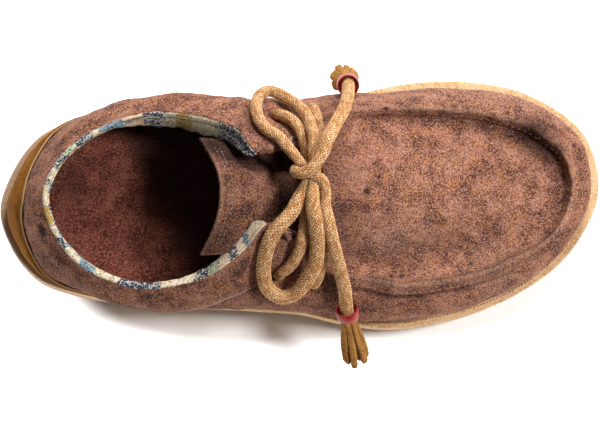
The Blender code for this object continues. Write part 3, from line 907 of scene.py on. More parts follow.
@dataclass(frozen=True)
class RopeFinish:
    """Knitted cotton rope: golden yarn with cream and brown stitches, and painted shade between them."""

    cream: Colour = (0.8, 0.56, 0.34)
    pale: Colour = (0.72, 0.42, 0.205)
    yarn: Colour = (0.5, 0.23, 0.082)
    brown: Colour = (0.25, 0.085, 0.02)
    gap: Colour = (0.09, 0.03, 0.006)

    def material(self, name: str) -> Material:
        """Makes the material."""
        shader = Shader(name)
        relief = shader.mark("relief")
        fuzz = shader.noise(0.35, 1.0, 0.5)
        tone = 0.4 * shader.mark("tone") + 0.6 * fuzz + 0.06
        stops = ((0.15, self.brown), (0.4, self.yarn), (0.62, self.pale), (0.82, self.cream))
        colour = shader.ramp(tone, stops)
        # Painted shade in the low places between the stitches
        colour = shader.mix(0.9 - 0.9 * relief.rise(0.12, 0.7), colour, self.gap)
        return shader.finish(colour, 0.95, fuzz, 0.2)


class Motif(Enum):
    """Colours of the woven fabric, each with the colour of the threads that show through it."""

    CREAM = ((0.66, 0.56, 0.4), (0.3, 0.24, 0.17))
    NAVY = ((0.035, 0.045, 0.075), (0.56, 0.52, 0.43))
    BLUE = ((0.23, 0.31, 0.33), (0.06, 0.07, 0.095))
    GOLD = ((0.47, 0.31, 0.085), (0.2, 0.14, 0.08))
    GREEN = ((0.47, 0.5, 0.34), (0.09, 0.1, 0.095))
    BEIGE = ((0.52, 0.39, 0.27), (0.72, 0.6, 0.45))


class MotifRow(NamedTuple):
    """Start of one motif, as a share of the collar's binding from its inner to its outer front end."""

    start: float
    motif: Motif


MOTIF_ROWS = rows_of(
    MotifRow,
    (0.0, Motif.NAVY), (0.105, Motif.CREAM), (0.147, Motif.GOLD), (0.165, Motif.CREAM),
    (0.19, Motif.NAVY), (0.225, Motif.BEIGE), (0.26, Motif.BLUE), (0.305, Motif.CREAM),
    (0.324, Motif.NAVY), (0.357, Motif.GREEN), (0.39, Motif.NAVY), (0.423, Motif.CREAM),
    (0.45, Motif.NAVY), (0.463, Motif.CREAM), (0.497, Motif.GOLD), (0.53, Motif.CREAM),
    (0.55, Motif.NAVY), (0.574, Motif.CREAM), (0.603, Motif.BLUE), (0.634, Motif.CREAM),
    (0.684, Motif.NAVY), (0.783, Motif.CREAM), (0.836, Motif.NAVY), (0.86, Motif.GREEN),
    (0.886, Motif.BEIGE), (0.904, Motif.NAVY), (0.921, Motif.BEIGE), (0.938, Motif.BLUE),
    (0.952, Motif.BEIGE),
)


@dataclass(frozen=True)
class WovenFinish:
    """Woven cotton with plain blocks of colour, broken up by its threads, and painted shade where the mesh
    marks it.
    """

    # dark is the colour of the painted shade
    dark: Colour = (0.022, 0.016, 0.013)
    thread: float = 0.9
    depth: float = 0.3

    def material(self, name: str, along_binding: bool) -> Material:
        """Makes the material.

        Args:
            name: Name of the material.
            along_binding: Whether the blocks follow the motif table along the UV map, or lie in patches.

        Returns:
            The material.
        """
        shader = Shader(name)
        thread = shader.noise(self.thread, 2.0, 0.6)
        if along_binding:
            along = shader.parts(shader.coordinates.outputs["UV"])[1]
            along = along + 0.02 * (shader.noise(2.2, 1.0) - 0.5)
            ground, through = (
                shader.ramp(along, [(row.start, row.motif.value[k]) for row in MOTIF_ROWS], hard=True)
                for k in (0, 1)
            )
        else:
            ground, through = Motif.CREAM.value
            for i, motif in enumerate((Motif.BEIGE, Motif.NAVY, Motif.GOLD, Motif.BLUE)):
                patch = shader.noise(6.5, 1.0, 0.5, (0.1 * i + 0.3, 0.2, 0.05 * i)).rise(0.56, 0.6)
                ground = shader.mix(patch, ground, motif.value[0])
                through = shader.mix(patch, through, motif.value[1])
        colour = shader.mix(0.9 * thread.rise(0.5, 0.57), ground, through)
        # Painted shade
        colour = shader.mix(shader.mark("shade"), colour, self.dark)
        return shader.finish(colour, 0.95, thread, self.depth)


@dataclass(frozen=True)
class BeadFinish:
    """Polished red ring with faint clouds in its colour."""

    light: Colour = (0.36, 0.017, 0.012)
    dark: Colour = (0.19, 0.007, 0.006)

    def material(self, name: str) -> Material:
        """Makes the material."""
        shader = Shader(name)
        cloud = shader.noise(2.5, 3.0, 0.6)
        scratch = shader.noise(0.5, 2.0, 0.6)
        colour = shader.ramp(cloud, ((0.35, self.dark), (0.6, self.light)))
        roughness = 0.3 + 0.2 * scratch
        return shader.finish(colour, roughness, scratch, 0.04, 0.3)


@dataclass(frozen=True)
class ThreadFinish:
    """Thread and loose fibres in two close colours."""

    light: Colour
    dark: Colour

    def material(self, name: str) -> Material:
        """Makes the material."""
        shader = Shader(name)
        tone = shader.noise(1.8, 2.0, 0.6)
        colour = shader.ramp(tone, ((0.42, self.dark), (0.58, self.light)))
        return shader.finish(colour, 0.95, tone, 0.05)


# Pieces of the shoe


class SeamRow(NamedTuple):
    """Moccasin seam at a station: crease outside it, crease inside it, and dent of the apron behind it."""

    place: str
    outer: float
    inner: float
    dent: float


SEAM_ROWS = rows_of(
    SeamRow,
    ("flap out", 0.0, 0.0, 0.0), ("throat out", 1.0, 0.2, 0.0), ("ball out", 1.2, 0.15, 0.0),
    ("toe wall out", 1.0, 0.15, 0.0), ("toe turn out", 0.35, 0.3, 0.1),
    ("toe corner out", 0.2, 0.5, 0.35), ("toe tip", 0.2, 0.8, 0.8), ("toe corner in", 0.2, 1.0, 1.0),
    ("toe turn in", 0.25, 1.0, 0.9), ("ball in", 0.3, 0.7, 0.1), ("throat in", 0.3, 1.1, 0.05),
    ("flap in", 0.2, 0.9, 0.0), ("instep in", 0.0, 0.0, 0.0),
)


class EdgeRow(NamedTuple):
    """Front edge of a quarter panel: its place along the shoe at a level of the wall."""

    level: float
    x: float


OUTER_QUARTER = rows_of(
    EdgeRow,
    (0.0, -74), (0.17, -66), (0.295, -54.4), (0.34, -45.5), (0.385, -37.5), (0.425, -27), (0.45, -17),
    (0.485, -8.8), (0.565, -6.0), (0.73, -5.1), (1.0, -9.0),
)
INNER_QUARTER = rows_of(
    EdgeRow,
    (0.0, -60), (0.17, -40), (0.28, -20), (0.335, -8), (0.46, -2.5), (0.6, -3.5), (0.85, -7), (1.0, -11),
)


class Fold(NamedTuple):
    """Soft trough, or ridge where its depth is below 0, between two places of the top view."""

    x: float
    y: float
    end_x: float
    end_y: float
    width: float
    depth: float


FOLDS = rows_of(
    Fold,
    (14, -10, 24, -34, 6.0, 1.4), (14, 12, 20, 30, 5.0, 0.9), (36, 36, 37, 44, 1.6, 0.8),
    (48, 24, 52, 14, 6.0, 0.7), (62, -4, 86, 4, 8.0, -0.7), (70, -22, 92, -14, 6.0, 0.6),
    (96, 8, 108, 2, 5.0, 0.5), (-62, -50, -40, -46, 8.0, 0.8), (-22, 52, 24, 54, 7.0, -1.9),
    (-112, -30, -100, -42, 7.0, 0.7), (-17, -17, -22, -37, 5.0, 2.6), (-25, 44.5, -23, 40, 4.0, 1.6),
)


class Spot(NamedTuple):
    """Place with a radius and a strength, for a stain, a patch of painted shade, a worn patch or the pull
    of an eyelet.
    """

    x: float
    y: float
    z: float
    radius: float
    strength: float


STAINS = rows_of(
    Spot,
    (51, 20, 63.2, 2.4, 0.8), (26.9, 0.9, 75.2, 2.8, 0.9), (19.7, 3.4, 77.6, 1.1, 0.8),
    (102.8, 5.3, 49.2, 2.6, 0.75), (71.5, 19.5, 57.6, 1.8, 0.5), (128.1, 25.6, 48.1, 2.4, 0.75),
    (37.2, 41.1, 60.5, 1.7, 1.0), (69.7, 42.7, 54.9, 3.2, 0.65), (95.3, 40.3, 52.6, 2.2, 0.75),
    (39.4, -36.9, 54.8, 1.8, 0.8), (44.8, -36.7, 53.0, 1.8, 0.9), (-122.1, -16.7, 72.0, 4.6, 0.85),
    (-117.2, 17.4, 71.9, 3.4, 0.7), (-74.1, -47.5, 68.2, 3.6, 0.6), (-86.8, -44.1, 70.8, 2.8, 0.55),
    (-32.4, -36.3, 76.2, 3.0, 0.8), (85.4, -14.9, 51.3, 3.4, 0.5), (33.4, 16.1, 70.2, 2.6, 0.55),
)
EYELETS = rows_of(
    Spot,
    (-14.2, 36.6, 70.2, 4.2, 2.4), (-13.6, -37.2, 70.0, 4.2, 2.4), (2.8, 40.4, 63.6, 4.2, 2.2),
    (2.8, -41.0, 64.6, 4.2, 2.2),
)
# Spots of painted shade on the upper: beside the laces, under the loops, on the inner flap and in the inner
# toe corner
PAINTED_SHADE_SPOTS = rows_of(
    Spot,
    (16, 10, 79, 13.0, 0.3), (18, -12, 78, 12.0, 0.25), (12, -12, 77, 6.0, 0.45),
    (15, -25, 71, 7.0, 0.4), (9, -45, 60, 9.0, 0.5), (34, -45, 54, 7.0, 0.35),
    (-28, 30, 81.5, 7.0, 0.35), (-20, 24, 85, 6.0, 0.3), (111, 31, 49, 8.0, 0.7),
    (105, 34, 50.5, 6.0, 0.45), (117, 25.6, 45.5, 6.0, 0.4),
)
WORN = rows_of(
    Spot,
    (36, -23, 66, 12.0, 0.35), (50, -20, 62, 10.0, 0.25), (88, -34, 46, 14.0, 0.3),
)
TONGUE_STAINS = rows_of(Spot, (-27, 3, 87.5, 1.6, 0.8), (-22, 14, 82.5, 3.0, 0.6))
# Spots of painted shadow on the tongue: under the inner flap, beside the bow and under the outer leaf
TONGUE_PAINTED_SHADE_SPOTS = rows_of(
    Spot,
    (-45, 22, 78, 7.0, 0.75), (-38, 18.5, 77.5, 7.0, 0.85), (-31, 16, 77, 6.0, 0.6),
    (-22, 14, 76, 6.0, 0.5), (-15, 14, 68, 9.0, 0.8), (-9, -4, 75, 9.0, 0.7), (-8, -16, 71, 7.0, 0.5),
    (-47, -24, 89, 9.0, 0.6),
)


class FoldedRow(NamedTuple):
    """Binding at a share of its length: reach inside the rim, and share of the wall's own slope in it."""

    place: float
    reach: float
    flat: float


FOLDED_ROWS = rows_of(
    FoldedRow,
    (0.0, 1.2, 0.3), (0.012, 2.8, 0.3), (0.03, 5.0, 0.3), (0.07, 7.8, 0.25), (0.11, 9.4, 0.1),
    (0.16, 9.4, 0.0), (0.21, 7.4, 0.0), (0.29, 1.6, 0.0), (0.4, 1.2, 0.0), (0.55, 1.3, 0.0),
    (0.68, 2.0, 0.1), (0.8, 2.2, 0.3), (0.86, 3.8, 0.4), (0.9, 6.0, 0.4), (0.94, 6.6, 0.4),
    (0.98, 5.0, 0.4), (1.0, 2.4, 0.4),
)


def spot_field(points: Array, spots: Sequence[Spot]) -> Array:
    """Sum of soft humps at some spots, at points."""
    total = np.zeros(points.shape[:-1])
    for spot in spots:
        away = np.linalg.norm(points - np.array(spot[:3]), axis=-1)
        total += spot.strength * hump(away, 0.0, spot.radius)
    return total


def fold_field(points: Array) -> Array:
    """Depth of the hand-placed folds at points."""
    total = np.zeros(points.shape[:-1])
    for fold in FOLDS:
        start, run = np.array(fold[:2]), np.array(fold[2:4]) - np.array(fold[:2])
        share = np.clip(((points[..., :2] - start) @ run) / (run @ run), 0, 1)
        away = np.linalg.norm(points[..., :2] - start - share[..., None] * run, axis=-1)
        total += fold.depth * hump(away, 0.0, fold.width)
    return total


@dataclass
class Upper:
    """Wool upper with its moccasin seam, quarter panels, lining and collar binding."""

    last: Last
    wool: Material
    wall: float = 3.0
    rim_wall: float = 2.2
    lining: float = 0.8
    lining_ridge: float = 0.4
    lining_clear: float = 0.1
    lining_drop: float = 0.12
    lining_columns: int = 300
    lining_rows: int = 40
    quarter_lift: float = 1.6
    vamp_sink: float = 0.5
    cut: float = 0.0009
    girth: float = 760.0
    roll: float = 1.4
    roll_level: float = 0.458
    crease: float = 1.1
    outer_crease_level: float = 0.39
    inner_crease_level: float = 0.545
    dent: float = 4.2
    dent_level: float = 0.6
    toe_bulge: float = 0.5
    toe_bulge_level: float = 0.17
    darkest: float = 0.85
    binding_out: float = 1.4
    binding_up: float = 1.4
    binding_tilt: float = 0.22
    binding_hollow: float = 1.6
    binding_columns: int = 520
    binding_sides: int = 20
    columns: tuple[int, ...] = (150, 2, 250, 2, 126)
    bands: tuple[tuple[float, float, int], ...] = ((0.0, 0.34, 24), (0.34, 0.6, 46), (0.6, 1.0, 35))
    edge_samples: int = 160
    settle_rounds: int = 40
    inner_rows: int = 20
    inner_step: float = 0.01
    stitch: StitchSizes = StitchSizes(3.1, 1.6, 0.4, 8)
    stitch_up: float = 0.1
    stitch_margin: float = 0.01
    stitch_levels: tuple[float, ...] = (0.415, 0.515)
    seam_paths: list[Array] = field(default_factory=list)

    def levels(self) -> Array:
        """Places up the wall, closest around the moccasin seam."""
        rows = [np.linspace(low, high, count, endpoint=False) for low, high, count in self.bands]
        return np.append(np.concatenate(rows), 1.0)

    def edge_place(self, rows: Sequence[EdgeRow], level: float, first: str, final: str) -> float:
        """How far around the shoe a quarter's front edge is at a level."""
        t = np.linspace(self.last.knot_of[first], self.last.knot_of[final], self.edge_samples)
        x = self.last.upper_form(t, [level])[0, :, 0]
        wanted = np.interp(level, *zip(*rows))
        order = np.argsort(x)
        return float(np.interp(wanted, x[order], t[order]))

    def edges(self, level: float) -> tuple[float, float]:
        """How far around the shoe the front edges of both quarters are at a level."""
        outer = self.edge_place(OUTER_QUARTER, level, "heel out", "ball out")
        return outer, self.edge_place(INNER_QUARTER, level, "throat in", "heel in")

    def around(self, level: float) -> Array:
        """Places around the shoe for the columns at a level; they follow the edges of the quarters."""
        outer, inner = self.edges(level)
        stops = (0.0, outer - self.cut, outer + self.cut, inner - self.cut, inner + self.cut, 1.0)
        runs = zip(stops, stops[1:], self.columns)
        return np.concatenate([np.linspace(a, b, count, endpoint=False) for a, b, count in runs])

    def panel(self) -> Array:
        """Share of the quarter in each column: 1 on it, 0 on the vamp."""
        ends = np.cumsum((0, *self.columns))
        return np.interp(np.arange(ends[-1]), ends, (1.0, 1.0, 0.0, 0.0, 1.0, 1.0))

    def settle(self, grid: Array, t: Array, levels: Array) -> Array:
        """Evens out the columns that bunch together along the middle of the toe."""
        share = smooth_step(levels, 0.56, 0.62) * (1 - smooth_step(levels, 0.92, 1.0))
        weight = (share[:, None] * hump(t, self.last.knot_of["toe tip"], 0.035))[..., None]
        for _ in range(self.settle_rounds):
            mean = 0.5 * grid + 0.25 * (np.roll(grid, 1, axis=1) + np.roll(grid, -1, axis=1))
            grid = grid + weight * (mean - grid)
        return grid

    def seam(self, name: str, t: Array) -> Array:
        """One column of the seam table at places around the shoe."""
        rows = [(row.place, getattr(row, name)) for row in SEAM_ROWS]
        return self.last.table(rows, t.ravel()).reshape(t.shape)

    def plain(self, t: Array, levels: Array, ridge_share: float = 1.0) -> Array:
        """Form with the apron sunk behind the moccasin seam, before its relief.

        Args:
            t: Places around the shoe, one row for each level.
            levels: Level of each row.
            ridge_share: Height of the moccasin seam, as a share of its full height.

        Returns:
            A grid of points.
        """
        rows = [self.last.upper_form(row, [level], ridge_share) for row, level in zip(t, levels)]
        grid = self.settle(np.concatenate(rows), t, levels)
        grid[..., 2] -= self.dent * self.seam("dent", t) * hump(levels[:, None], self.dent_level, 0.075)
        return grid

    def creases(self, t: Array, up: Array) -> tuple[Array, Array, Array]:
        """Shares of the moccasin seam's roll, and of the creases outside and inside it."""
        ridge = np.clip(self.last.value(t.ravel(), "ridge"), 0, 1).reshape(t.shape)
        outer = self.seam("outer", t) * ridge * hump(up, self.outer_crease_level, 0.012)
        return ridge, outer, self.seam("inner", t) * ridge * hump(up, self.inner_crease_level, 0.018)

    def relief(self, grid: Array, t: Array, levels: Array) -> Array:
        """Relief of the outer surface.

        Args:
            grid: Points of the plain form.
            t: Place around the shoe of each point.
            levels: Level of each row.

        Returns:
            Height of the relief at each point.
        """
        up, along = levels[:, None], grid[..., 0]
        ridge, outer, inner = self.creases(t, up)
        height = self.roll * ridge * hump(up, self.roll_level, 0.042) - self.crease * (outer + inner)
        height += self.toe_bulge * smooth_step(along, 70, 115) * hump(up, self.toe_bulge_level, 0.13)
        panel = self.panel()[None, :]
        forward = smooth_step(along, -78, -48)
        height += forward * (self.quarter_lift * panel - self.vamp_sink * (1 - panel))
        soft = smooth_step(up, 0.0, 0.12) * smooth_step(-up, -1.0, -0.9)
        swell = (0.4 + 0.6 * smooth_step(up, 0.3, 0.5)) * Lumps(26.0, 0.35, 3).at(grid)
        swell += Lumps(8.0, 0.12, 5).at(grid)
        height += soft * (swell - fold_field(grid)) - spot_field(grid, EYELETS)
        return height

    def marks(self, grid: Array, t: Array, levels: Array) -> tuple[Array, Array]:
        """Shares of pale cut edge, pale spots and painted highlight, and of painted shade, at the same
        points as the relief.
        """
        up, along, across = levels[:, None], grid[..., 0], grid[..., 1]
        ridge, outer, inner = self.creases(t, up)
        shown = smooth_step(along, -72, -60)
        edge = np.array([self.edges(level) for level in levels])
        lean = 0.4 + 0.6 * smooth_step(up, 0.44, 0.52)
        ahead = self.girth * lean * np.minimum(t - edge[:, :1], edge[:, 1:] - t)
        # lip: the quarter's pale cut edge, partly a painted highlight; foot: painted shadow on the vamp
        # just below it
        lip = shown * (ahead < 0.3) * hump(ahead, -0.7, 2.0)
        foot = shown * (ahead > 0.3) * hump(ahead, 0.5, 3.0)
        # Painted highlight along the crest of the seam's roll, and a pale lower edge
        pale = 1.3 * lip + 0.6 * ridge * hump(up, 0.465, 0.016) + 0.5 * hump(up, 0.0, 0.02)
        pale = np.clip(pale, 0, 1.3) + spot_field(grid, WORN)
        low = 1 - smooth_step(up, 0.34, 0.42)
        # Painted light: the low inner wall and the heel are made paler
        pale += 0.25 * low * smooth_step(across, 28, 42) + 0.2 * low * smooth_step(-along, 94, 112)
        # Painted shade in the creases beside the seam, in the apron's dent, under the quarter's edge and at
        # the listed spots
        shade = 0.45 * outer + 0.2 * inner + 0.32 * self.seam("dent", t) * hump(up, 0.56, 0.05)
        shade += 0.6 * foot + spot_field(grid, PAINTED_SHADE_SPOTS)
        # Painted shade on the outer side, along its seam and over its rear part
        lateral = smooth_step(-across, 12, 30)
        shade += 0.36 * lateral * ridge * hump(up, 0.46, 0.06)
        shade += 0.2 * lateral * (1 - smooth_step(along, -30, 0))
        return pale, np.clip(shade, 0, self.darkest)

    def inner_side(self, levels: Array, depth: Array | float, t: Array | None = None) -> Array:
        """Surface at a depth under the plain form, one row for each level."""
        rows = []
        for level, below in zip(levels, np.broadcast_to(depth, levels.shape)):
            place = self.around(level) if t is None else t
            near = np.clip(level + self.inner_step * np.array((-1, 0, 1)), 0.0, 1.0)
            form = self.plain(np.tile(place, (3, 1)), near, self.lining_ridge)
            middle = form[1]
            sunk = below + self.vamp_sink + np.maximum(fold_field(middle), 0) + spot_field(middle, EYELETS)
            share = (1 - smooth_step(level, 0.9, 0.97)) * smooth_step(level, 0.0, 0.1)
            sunk = below + (sunk - below) * share
            rows.append(middle - surface_normals(form, True)[1] * sunk[:, None])
        return np.stack(rows)

    def build_wool(self) -> Piece:
        """Builds the wool wall."""
        levels = self.levels()
        t = np.stack([self.around(level) for level in levels])
        form = self.plain(t, levels)
        pale, shade = self.marks(form, t, levels)
        normals = surface_normals(form, True)
        outer = form + normals * self.relief(form, t, levels)[..., None]
        self.seam_paths = [self.seam_path(outer, normals, t, levels, level) for level in self.stitch_levels]
        inner_levels = np.linspace(1.0, 0.0, self.inner_rows)
        thick = self.wall - self.lining - self.lining_clear
        depth = np.where(inner_levels > 0.97, self.rim_wall - 0.4, thick)
        inner = self.inner_side(inner_levels, depth)
        inner[-1, :, 2] = outer[0, :, 2]
        grid = np.concatenate([outer, inner])
        outside = outside_only(np.ones(outer.shape[:2]), len(inner))
        marks = {
            "nap": outside,
            "pale": outside_only(pale, len(inner)),
            "shade": outside_only(shade, len(inner)),
            "stain": np.clip(spot_field(grid, STAINS), 0, 1) * outside,
        }
        return skin_piece("upper_wool", grid, True, self.wool, "wool", "upper", **marks)

    def seam_path(self, outer: Array, normals: Array, t: Array, levels: Array, level: float) -> Array:
        """Line on the outer surface along the moccasin seam at a level, a little proud of it."""
        row = int(np.argmin(np.abs(levels - level)))
        start = self.last.knot_of["throat out"] + self.stitch_margin
        end = self.last.knot_of["throat in"] - self.stitch_margin
        return (outer[row] + self.stitch_up * normals[row])[(t[row] > start) & (t[row] < end)]

    def build_seam_stitches(self, stitches: StitchRepeat, material: Material) -> Piece:
        """Sets the stitches on both sides of the moccasin seam."""
        return stitches.piece("seam_stitches", self.seam_paths, self.stitch, material, "wool")

    def build_lining(self, material: Material) -> Piece:
        """Builds the lining inside the wool."""
        t = np.arange(self.lining_columns) / self.lining_columns
        levels = np.linspace(0.02, 0.995, self.lining_rows)
        knot_of = self.last.knot_of
        front = smooth_step(t, knot_of["instep out"], knot_of["flap out"])
        front *= 1 - smooth_step(t, knot_of["instep in"] - 0.012, knot_of["instep in"] + 0.008)
        place = np.arange(len(levels))[:, None] * (1 - self.lining_drop * front)
        depths = (self.wall - self.lining, self.wall)
        outer, inner = (between_rows(self.inner_side(levels, depth, t), place) for depth in depths)
        return skin_piece("lining", np.concatenate([outer, inner[::-1]]), True, material, "wool")

    def rim(self, t: Array) -> tuple[Array, Array, Array]:
        """Middle of the wall along the rim, with the directions out of the wall and up it."""
        form = self.last.upper_form(t, [0.97, 1.0])
        up = unit(form[1] - form[0])
        out = unit(np.cross(np.gradient(form[1], axis=0), up))
        return form[1] - out * 0.5 * self.rim_wall, out, up

    def build_binding(self, material: Material) -> Piece:
        """Builds the folded binding around the collar, from its inner to its outer front end."""
        knot_of = self.last.knot_of
        t = np.linspace(knot_of["instep in"], 1 + knot_of["flap out"], self.binding_columns)
        middle, out, up = self.rim(t)
        turn = full_turn(self.binding_sides)
        share = np.linspace(0, 1, len(t))
        full = 0.3 + 0.7 * np.clip(np.minimum(share, 1 - share) / 0.015, 0, 1) ** 0.5
        pucker = full * (1 + 0.05 * np.sin(share * 260) + 0.06 * np.sin(share * 97 + 1.0))
        rows = np.array(FOLDED_ROWS)
        fold, flat = (np.interp(share, rows[:, 0], rows[:, k]) for k in (1, 2))
        inward = unit(up * flat[:, None] - out * (1 - flat)[:, None])
        half = 0.5 * (self.binding_out + fold)
        grid = []
        for a in turn:
            across = (half * math.cos(a) + self.binding_out - half) * pucker
            drop = self.binding_tilt * np.minimum(across, 0)
            hollow = self.binding_hollow * smooth_step(half, 1.2, 3.0) * hump(math.cos(a), 0.1, 0.5)
            height = self.binding_up * (math.sin(a) - 0.15) * pucker + drop - hollow
            outward = out * np.maximum(across, 0)[:, None] - inward * np.minimum(across, 0)[:, None]
            grid.append(middle + outward + up * height[:, None])
        # Painted shade on the inner side of the two folded leaves at the binding's front ends
        inside = smooth_step(-np.cos(turn), -0.3, 0.3)[:, None]
        shade = inside * (0.7 * hump(share, 0.15, 0.11) + 0.3 * smooth_step(share, 0.83, 0.88))
        marks = {"along": share, "shade": shade}
        return skin_piece("collar_binding", np.stack(grid), False, material, "wool", **marks)


@dataclass
class Sole:
    """Crepe sole with rounded edges, arch, toe spring, cross grooves and a row of stitches on its ledge."""

    last: Last
    around: int = 420
    top_round: float = 1.4
    bottom_round: float = 3.0
    bottom_rise: float = 5.1
    ledge_insets: tuple[float, ...] = (9.0, 6.5, 4.5, 3.0, 2.0)
    top_rings: int = 6
    side_rings: int = 12
    bottom_rings: int = 7
    ripple: float = 0.18
    ripple_turn: float = 19.0
    sharp_angle: float = 40.0
    stitch: StitchSizes = StitchSizes(1.7, 1.25, 0.6, 4)
    stitch_out: float = 0.75
    stitch_up: float = 0.12
    stitch_points: int = 700
    groove_depth: float = 2.2
    groove_width: float = 3.2
    groove_reach: float = 200.0
    groove_places: tuple[float, ...] = (-118, -106, -94, -82, -70, -58, 24, 36, 48, 60, 72, 84)

    def rings(self) -> Array:
        """Rings of points from the upper face over the edge to the underside."""
        t = np.arange(self.around) / self.around

        def ring(inset: float, share: float, drop: float = 0.0, rise: float = 0.0) -> Array:
            """Ring at an inset, at a share of the way from under the top to over the underside."""
            plan, _ = self.last.outline(t, inset)
            high = self.last.sole_top(plan[:, 0]) - drop
            low = self.last.sole_lift(plan[:, 0]) + rise
            return np.column_stack([plan, high * (1 - share) + low * share])

        rings = [ring(inset, 0.0) for inset in self.ledge_insets]
        for a in np.linspace(0, 0.5 * np.pi, self.top_rings):
            inset, drop = self.top_round * (1 - math.sin(a)), self.top_round * (1 - math.cos(a))
            rings.append(ring(inset, 0.0, drop=drop))
        for share in np.linspace(0, 1, self.side_rings + 2)[1:-1]:
            inset = self.ripple * (1 + math.sin(share * self.ripple_turn))
            rings.append(ring(inset, share, self.top_round, self.bottom_rise))
        for a in np.linspace(0, 0.5 * np.pi, self.bottom_rings):
            inset, rise = self.bottom_round * (1 - math.cos(a)), self.bottom_rise * (1 - math.sin(a))
            rings.append(ring(inset, 1.0, rise=rise))
        return np.stack(rings)

    def groove_cutter(self) -> Piece:
        """Bars that cut the cross grooves into the underside."""
        work = bmesh.new()
        size = Matrix.Diagonal((self.groove_width, self.groove_reach, 2 * self.groove_depth, 1))
        for x in self.groove_places:
            place = Matrix.Scale(MM, 4) @ Matrix.Translation((x, 0, 0)) @ size
            bmesh.ops.create_cube(work, size=1.0, matrix=place)
        mesh = bpy.data.meshes.new("groove_cutter")
        work.to_mesh(mesh)
        work.free()
        return link_object("groove_cutter", mesh)

    def build(self, material: Material) -> Piece:
        """Builds the sole."""
        builder = MeshBuilder()
        builder.add(self.rings().transpose(1, 0, 2), False)
        draft = link_object("sole_draft", builder.mesh("sole_draft"))
        cutter = self.groove_cutter()
        modifier = draft.modifiers.new("grooves", "BOOLEAN")
        modifier.operation = "DIFFERENCE"
        modifier.object = cutter
        mesh = evaluated_mesh(draft)
        for item in (draft, cutter):
            bpy.data.objects.remove(item)
        mesh.set_sharp_from_angle(angle=math.radians(self.sharp_angle))
        return add_piece("sole_crepe", mesh, material, "sole", "sole")

    def build_stitches(self, stitches: StitchRepeat, material: Material) -> Piece:
        """Sets the fine stitches that follow the wool's lower edge on the ledge."""
        t = np.linspace(0, 1, self.stitch_points)
        plan, _ = self.last.outline(t, self.last.value(t, "rim") - self.stitch_out)
        path = np.column_stack([plan, self.last.sole_top(plan[:, 0]) + self.stitch_up])
        return stitches.piece("ledge_stitches", [path], self.stitch, material, "sole")


@dataclass
class Insole:
    """Felt footbed on the sole inside the upper."""

    last: Last
    around: int = 240
    thick: float = 4.0
    wall: float = 3.0
    clear: float = 0.7
    bevel: float = 1.0
    painted_shadow_share: float = 0.75
    dark_spots: tuple[Spot, ...] = (Spot(-110, 5, 31, 9.0, 0.4),)

    def build(self, material: Material) -> Piece:
        """Builds the footbed, dished a little towards its middle, with painted shadow towards the toe."""
        t = np.arange(self.around) / self.around
        edge = self.last.value(t, "rim") + self.wall + self.clear
        rows = [(30.0, -1.1), (24.0, -1.0), (18.0, -0.8), (12.0, -0.5), (6.0, -0.2), (2.4, 0.0)]
        rows += [(self.bevel, 0.0), (0.3 * self.bevel, -0.3 * self.bevel), (0.0, -self.bevel)]
        rows += [(0.0, -self.thick)]
        rings = []
        for inset, drop in rows:
            plan, _ = self.last.outline(t, edge + inset)
            height = self.last.sole_top(plan[:, 0]) + self.last.gap + self.thick + drop
            rings.append(np.column_stack([plan, height]))
        grid = np.stack(rings, axis=1)
        soft = np.array([drop > -self.bevel - 0.2 and inset > self.bevel for inset, drop in rows], float)
        grid[..., 2] += soft * Lumps(18.0, 0.18, 11).at(grid)
        # Painted shadow of the tongue and the upper across the front of the footbed, plus a listed dark
        # spot further back
        shade = self.painted_shadow_share * smooth_step(grid[..., 0] + 0.48 * grid[..., 1], -77, -63)
        shade += spot_field(grid, self.dark_spots)
        return skin_piece("insole_felt", grid, False, material, "insole", "insole", shade=shade)


